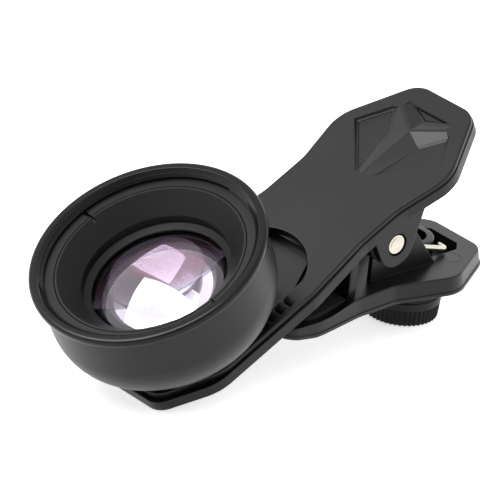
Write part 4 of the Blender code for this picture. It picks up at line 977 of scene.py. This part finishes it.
def make_barrel():
    """The turned barrel, the ring over its collar and the filter thread inside the rim."""
    shoulder = RIM_TOP - RIM_HEIGHT - FIT / 3
    collar = RIM_TOP - RIM_HEIGHT / 2 - FIT
    base_radius = BARREL_RADIUS - BOWL_RADIUS
    bowl = []
    for step in range(BOWL_STEPS + 1):
        turn = math.pi / 2 * step / BOWL_STEPS
        bowl.append((base_radius + BOWL_RADIUS * math.cos(turn),
                     FIT + BOWL_RADIUS * (1 - math.sin(turn)), 0))
    turned_piece("lens_barrel_shell", [
        (FILTER_RADIUS, collar, 0.1 * MM),
        (FILTER_RADIUS + COLLAR_WALL, collar, 0.1 * MM),
        (FILTER_RADIUS + COLLAR_WALL, shoulder, 0),
        (BARREL_RADIUS, shoulder, 0.3 * MM),
        *bowl,
        (BORE, FIT, 0.1 * MM),
        (BORE, CELL_FLOOR, 0),
        (GLASS_RADIUS + FIT, CELL_FLOOR, 0),
        (GLASS_RADIUS + FIT, GLASS_EDGE_TOP, 0),
        (CONE_TOP_RADIUS + CONE_WALL, GLASS_EDGE_TOP, 0),
        (CONE_TOP_RADIUS + CONE_WALL, SHELF, 0),
        (FILTER_RADIUS, SHELF, 0),
    ], BARREL_SATIN, "lens", ["lens_barrel"])
    bottom = RIM_TOP - RIM_HEIGHT
    lip = RIM_TOP - RIM_HEIGHT / 2
    bore = FILTER_RADIUS + COLLAR_WALL + FIT
    turned_piece("rim_ring", [
        (FILTER_RADIUS, RIM_TOP - RIM_BEVEL, 0.05 * MM),
        (FILTER_RADIUS + RIM_BEVEL, RIM_TOP, 0.12 * MM),
        (RIM_RADIUS, RIM_TOP, RIM_ROUND),
        (RIM_RADIUS, bottom, RIM_ROUND),
        (bore, bottom, 0.05 * MM),
        (bore, lip, 0.05 * MM),
        (FILTER_RADIUS, lip, 0.05 * MM),
    ], RIM_GLOSS, "lens", ["front_ring"])
    crests = grow("filter_thread", THREAD, bpy.data.meshes.new("filter_thread"),
                  radius=FILTER_RADIUS, pitch=FILTER_PITCH, turns=FILTER_TURNS,
                  crest=FILTER_CREST, material=RIM_GLOSS)
    crests.data.transform(Matrix.Translation((0, 0, RING_TOP + 0.02 * MM)))
    dress(crests, UPPER, RIM_GLOSS, "lens", sharp=THREAD_SHARP)


def make_inner_rings():
    """The retaining ring with its notches, and the stepped cone that frames the glass."""
    notches = []
    for turn in (NOTCH_ANGLE, NOTCH_ANGLE + math.pi):
        notch = box_mesh("notch", (NOTCH_INNER, -NOTCH_WIDTH / 2, RING_TOP - NOTCH_DEPTH),
                         (FILTER_RADIUS, NOTCH_WIDTH / 2, RIM_TOP), 0.1 * MM)
        notch.transform(Matrix.Rotation(turn, 4, "Z"))
        notches.append(notch)
    cut = together("notches", notches)
    inner = CONE_TOP_RADIUS + CONE_LIP + FIT / 3
    ring = new_object("slotted_ring", lathe("slotted_ring", rounded([
        (inner, RING_TOP, 0.08 * MM),
        (FILTER_RADIUS - FIT / 3, RING_TOP, 0.08 * MM),
        (FILTER_RADIUS - FIT / 3, RING_BOTTOM, 0),
        (inner, RING_BOTTOM, 0),
    ], 3), TURNED_STEPS))
    carve(ring, cut.copy())
    dress(ring, UPPER, INNER_MATT, "lens", ["retaining_ring"])
    foot = RING_TOP - CONE_DEPTH
    lip = GLASS_APEX - GLASS_CURVE + math.sqrt(GLASS_CURVE ** 2 - GLASS_WINDOW ** 2) + FIT
    flange = RING_BOTTOM - FIT
    cone = new_object("stepped_cone", lathe("stepped_cone", rounded([
        (CONE_TOP_RADIUS, RING_TOP, 0.1 * MM),
        (CONE_TOP_RADIUS + CONE_LIP, RING_TOP, 0.08 * MM),
        (CONE_TOP_RADIUS + CONE_LIP, flange, 0),
        (FILTER_RADIUS - FIT, flange, 0),
        (FILTER_RADIUS - FIT, flange - 0.8 * MM, 0),
        (CONE_TOP_RADIUS, flange - 0.8 * MM, 0),
        (CONE_FOOT_RADIUS + CONE_WALL, foot, 0),
        (CONE_FOOT_RADIUS + CONE_WALL, GLASS_EDGE_TOP + FIT, 0),
        (GLASS_RADIUS, GLASS_EDGE_TOP + FIT, 0),
        (GLASS_WINDOW, lip, 0.04 * MM),
        (GLASS_WINDOW, lip + FIT, 0.08 * MM),
        (CONE_FOOT_RADIUS, lip + 3 * FIT, 0.1 * MM),
        (CONE_FOOT_RADIUS, foot, 0.15 * MM),
    ], 6), TURNED_STEPS))
    carve(cone, cut)
    dress(cone, UPPER, INNER_MATT, "lens", ["baffle_cone"])


def make_glass():
    """The front element with its two curved faces."""
    back_apex = (GLASS_EDGE_FOOT - GLASS_BACK_CURVE
                 + math.sqrt(GLASS_BACK_CURVE ** 2 - GLASS_RADIUS ** 2))
    front = sphere_arc(GLASS_APEX, GLASS_CURVE, 0, GLASS_RADIUS, 32)
    back = sphere_arc(back_apex, GLASS_BACK_CURVE, 0, GLASS_RADIUS, 16, -1)
    glass = new_object("front_glass", lathe("front_glass", front + back[::-1], TURNED_STEPS, False))
    dress(glass, UPPER, FRONT_GLASS, "lens", ["front_element"], CURVED_SHARP)


def make_pin_and_spring():
    """The dished steel pin and the torsion spring: a coil with a leg at each end."""
    bowl = sphere_arc(PIN_HALF - PIN_DISH, PIN_DISH_CURVE, 0, PIN_RADIUS - PIN_RIM, 12, -1)
    end = [(x, y, 0) for x, y in bowl]
    end += [(PIN_RADIUS, PIN_HALF, 0.12 * MM), (PIN_RADIUS, -PIN_HALF, 0.12 * MM)]
    end += [(x, -y, 0) for x, y in bowl[::-1]]
    pin = new_object("dished_pin", lathe("dished_pin", rounded(end, 5), 96, False))
    pin.data.transform(Matrix.Rotation(math.pi / 2, 4, "X"))
    dress(pin, LOWER, STEEL, "base", ["hinge_pin"])

    half = CHEEK_INNER - FIT - WIRE_RADIUS
    rest_z = LOWER_TOP + FIT + WIRE_RADIUS
    push = Matrix.Rotation(-CLOSED_ANGLE, 3, "Y") @ Vector(
        (PUSH_LEG, 0, PIN_DROP - ARM_PLATE - FIT - WIRE_RADIUS))
    start = math.atan2(rest_z, REST_LEG) - math.acos(COIL_RADIUS / math.hypot(REST_LEG, rest_z))
    stop = math.atan2(push.z, push.x) + math.acos(COIL_RADIUS / math.hypot(push.x, push.z))
    sweep = COIL_TURNS * math.tau + (stop - start) % math.tau - math.tau
    steps = round(COIL_STEPS * sweep / math.tau)
    points = [(REST_LEG, REST_LEG_BEND - half, rest_z), (REST_LEG, -half, rest_z)]
    for step in range(steps + 1):
        turn = start + sweep * step / steps
        points.append((COIL_RADIUS * math.cos(turn), half * (2 * step / steps - 1),
                       COIL_RADIUS * math.sin(turn)))
    points.append((push.x, half, push.z))
    line = bpy.data.meshes.new("spring_line")
    line.from_pydata(points, [(index, index + 1) for index in range(len(points) - 1)], [])
    spring = grow("bent_spring", WIRE, line, wire_radius=WIRE_RADIUS, bend_radius=WIRE_BEND,
                  material=STEEL)
    dress(spring, LOWER, STEEL, None, sharp=CURVED_SHARP)
    # The coil winds between the leg on the lower arm and the leg under the upper arm
    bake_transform(spring)
    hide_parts("torsion_spring")


def flute(turn, height):
    """How deep the knob's side is cut at an angle and a height."""
    wave = 0.5 - 0.5 * math.cos(turn * KNOB_FLUTES)
    share = min(1.0, max(0.0, (KNOB_GRIP_TOP - height) / FLUTE_RUNOUT))
    return FLUTE_DEPTH * min(1.0, FLUTE_SHARE * wave) * share


def make_knob():
    """The clamp knob with its fluted grip and smooth collar, and its threaded screw."""
    lean = (KNOB_TOP_RADIUS - KNOB_RADIUS) / (KNOB_TOP - KNOB_BOTTOM)
    levels = [(KNOB_TOP, KNOB_EDGE), (KNOB_TOP - KNOB_EDGE_STEP, KNOB_EDGE_STEP),
              (KNOB_TOP - KNOB_EDGE, 0), (KNOB_GRIP_TOP + 0.1 * MM, 0)]
    levels += [(KNOB_GRIP_TOP - 0.06 * MM * step, 0) for step in range(6)]
    levels += [(KNOB_GRIP_TOP - 1.6 * MM, 0), (KNOB_BOTTOM + KNOB_EDGE, 0),
               (KNOB_BOTTOM + KNOB_EDGE_STEP, KNOB_EDGE_STEP), (KNOB_BOTTOM, KNOB_EDGE)]
    count = KNOB_FLUTES * FLUTE_STEPS
    rings = []
    for height, edge in levels:
        radius = KNOB_RADIUS + lean * (height - KNOB_BOTTOM) - edge
        ring = []
        for step in range(count):
            turn = math.tau * step / count
            reach = radius - flute(turn, height)
            ring.append(Vector((reach * math.cos(turn), reach * math.sin(turn))))
        rings.append((ring, height))
    knob = new_object("fluted_knob", loft("fluted_knob", rings))
    knob.data.transform(Matrix.Translation((SCREW_X, 0, 0)))
    carve(knob, rod("seat", SCREW_RADIUS + FIT, SCREW_LOW - FIT, KNOB_TOP + MM, SCREW_X))
    dress(knob, LOWER, KNOB_ABS, "knob", ["clamp_knob"], KNOB_SHARP)
    core = new_object("screw_core", rod("screw_core", SCREW_RADIUS - SCREW_CREST, SCREW_LOW,
                                        SCREW_HIGH, 0, 0.1 * MM))
    core.data.transform(Matrix.Translation((SCREW_X, 0, 0)))
    dress(core, LOWER, STEEL, "knob", ["clamp_screw"])
    turns = (SCREW_HIGH - SCREW_LOW) / SCREW_PITCH - 1
    thread = grow("screw_thread", THREAD, bpy.data.meshes.new("screw_thread"),
                  radius=SCREW_RADIUS - 0.22 * MM, pitch=SCREW_PITCH, turns=turns,
                  crest=SCREW_CREST, material=STEEL)
    thread.data.transform(Matrix.Translation((SCREW_X, 0, SCREW_LOW + SCREW_PITCH / 2)))
    dress(thread, LOWER, STEEL, "knob", sharp=THREAD_SHARP)


def make_carriage():
    """The plate under the slot with its creased tongue, and the turned mount ring in it."""
    neck = CARRIAGE_REAR - CARRIAGE_TIP_LENGTH
    front = (CARRIAGE_FRONT, ARM_FRONT_HALF - ARM_WALL, CARRIAGE_CORNER)
    foot = rounded(both_sides([
        front,
        (ARM_SHOULDER, FLANGE_HALF, CARRIAGE_CORNER),
        (neck, FLANGE_HALF, 6.0 * MM),
        (FLANGE_REAR, FLANGE_REAR_HALF, 3.0 * MM),
    ]), 8)
    outline = rounded(both_sides([
        front,
        (ARM_SHOULDER, CARRIAGE_HALF, CARRIAGE_CORNER),
        (neck - CARRIAGE_NECK_LENGTH, CARRIAGE_HALF, CARRIAGE_CORNER),
        (neck, CARRIAGE_NECK_HALF, 1.0 * MM),
        (CARRIAGE_REAR, CARRIAGE_TIP_HALF, 0.6 * MM),
    ]), 8)
    plate = new_object("carriage_plate", slab("carriage_plate", outline, CARRIAGE_FOOT,
                                              CARRIAGE_TOP, 0.2 * MM))
    # A thin flange below the tongue closes the slot from beneath
    carve(plate, slab("flange", foot, FLANGE_FOOT, FLANGE_TOP, 0.05 * MM), "UNION")
    drop = (CARRIAGE_REAR + MM - CARRIAGE_CREASE) * CREASE_SLOPE
    crease = [Vector(point) for point in (
        (CARRIAGE_CREASE, CARRIAGE_TOP + 0.01 * MM),
        (CARRIAGE_REAR + MM, CARRIAGE_TOP - drop),
        (CARRIAGE_REAR + MM, CARRIAGE_TOP + MM),
        (CARRIAGE_CREASE, CARRIAGE_TOP + MM),
    )]
    carve(plate, side_slab("crease", crease, -FLANGE_HALF - FIT, FLANGE_HALF + FIT))
    carve(plate, rod("seat", MOUNT_NECK + FIT, CARRIAGE_FOOT - MM, CARRIAGE_TOP + MM, 0, 0, 128))
    dress(plate, UPPER, ABS, "carriage", ["lens_carriage"])
    turned_piece("mount_ring_turned", [
        (MOUNT_BORE, 0.0, 0.15 * MM),
        (MOUNT_RADIUS, 0.0, 0.15 * MM),
        (MOUNT_RADIUS, CARRIAGE_TOP + FIT, 0.1 * MM),
        (MOUNT_NECK, CARRIAGE_TOP + FIT, 0),
        (MOUNT_NECK, CARRIAGE_FOOT, 0.1 * MM),
        (MOUNT_BORE, CARRIAGE_FOOT, 0.15 * MM),
    ], BARREL_SATIN, "carriage", ["mount_ring"])


def finish_hidden_pieces():
    """Give the solids that the scene keeps as they are the finish of the real pieces."""
    finishes = {
        "screw_insert": BRASS,
        "clamp_foot": PAD,
        "spacer_ring": INNER_MATT,
        "middle_element": MIDDLE_GLASS,
        "rear_element": REAR_GLASS,
        "rear_mount": INNER_MATT,
    }
    for name, finish in finishes.items():
        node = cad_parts[name]
        node.data.materials.clear()
        node.data.materials.append(finish)


def add_stage():
    """A plain pale floor."""
    bm = bmesh.new()
    bmesh.ops.create_grid(bm, x_segments=1, y_segments=1, size=FLOOR_HALF)
    mesh = bpy.data.meshes.new("floor")
    bm.to_mesh(mesh)
    bm.free()
    floor = new_object("floor", mesh)
    # A sheet of opal acrylic lit from beneath, which keeps the shadows pale
    made, _, shader = new_finish("opal_acrylic_sweep", "#ffffff", 0.9)
    shader.inputs["Emission Color"].default_value = linear("#ffffff")
    shader.inputs["Emission Strength"].default_value = FLOOR_GLOW
    mesh.materials.append(made)


def add_light(name, place, target, size, power):
    """A softbox that looks at a point; it shows in what shines and casts no shadow."""
    lamp = bpy.data.lights.new(name, "AREA")
    lamp.shape = "RECTANGLE"
    lamp.size, lamp.size_y = size
    lamp.energy = power
    holder = bpy.data.objects.new(name, lamp)
    bpy.context.scene.collection.objects.link(holder)
    holder.location = place
    holder.rotation_euler = (target - place).to_track_quat("-Z", "Y").to_euler()
    holder.visible_diffuse = False


def add_camera():
    """A long lens at the photograph's angle, fitted to the rim and the arm's edges."""
    back = -CAMERA_AIM.normalized()
    up = back.cross(CAMERA_RIGHT.normalized()).normalized()
    right = up.cross(back)
    data = bpy.data.cameras.new("camera")
    data.sensor_width = CAMERA_SENSOR
    data.lens = CAMERA_LENS
    data.clip_start = 0.05
    data.clip_end = 20.0
    camera = bpy.data.objects.new("camera", data)
    bpy.context.scene.collection.objects.link(camera)
    place = PIN + CAMERA_PLACE + right * CAMERA_NUDGE[0] + up * CAMERA_NUDGE[1]
    turned = Matrix((right, up, back)).transposed().to_4x4()
    camera.matrix_world = Matrix.Translation(place) @ turned
    bpy.context.scene.camera = camera


def add_sky():
    """A white room round the table, brighter near the horizon and darker on one side."""
    world = bpy.data.worlds.new("studio")
    bpy.context.scene.world = world
    world.use_nodes = True
    sky = world.node_tree
    aim = add(sky, "ShaderNodeTexCoord").outputs["Generated"]
    height = add(sky, "ShaderNodeSeparateXYZ", Vector=aim).outputs["Z"]
    glow = add(sky, "ShaderNodeMapRange", {"To Min": SKY_HORIZON, "To Max": SKY_ZENITH},
               Value=height)
    facing = add(sky, "ShaderNodeVectorMath", {"operation": "DOT_PRODUCT", 1: DARK_SIDE},
                 n0=aim).outputs["Value"]
    room = add(sky, "ShaderNodeMapRange", {"From Min": ROOM_EDGE, "To Min": 1.0,
                                           "To Max": ROOM_SHADE}, Value=facing)
    both = add(sky, "ShaderNodeMath", {"operation": "MULTIPLY"}, n0=glow.outputs["Result"],
               n1=room.outputs["Result"])
    back = sky.nodes["Background"].inputs
    back["Color"].default_value = linear("#ffffff")
    sky.links.new(both.outputs["Value"], back["Strength"])


make_upper_arm()
make_lower_arm()
make_barrel()
make_inner_rings()
make_glass()
make_pin_and_spring()
make_knob()
make_carriage()
finish_hidden_pieces()

add_stage()
add_sky()
bpy.context.scene.view_settings.view_transform = "Standard"
add_light("overhead_softbox", SOFTBOX_PLACE, SOFTBOX_TARGET, SOFTBOX_SIZE, SOFTBOX_POWER)
add_camera()
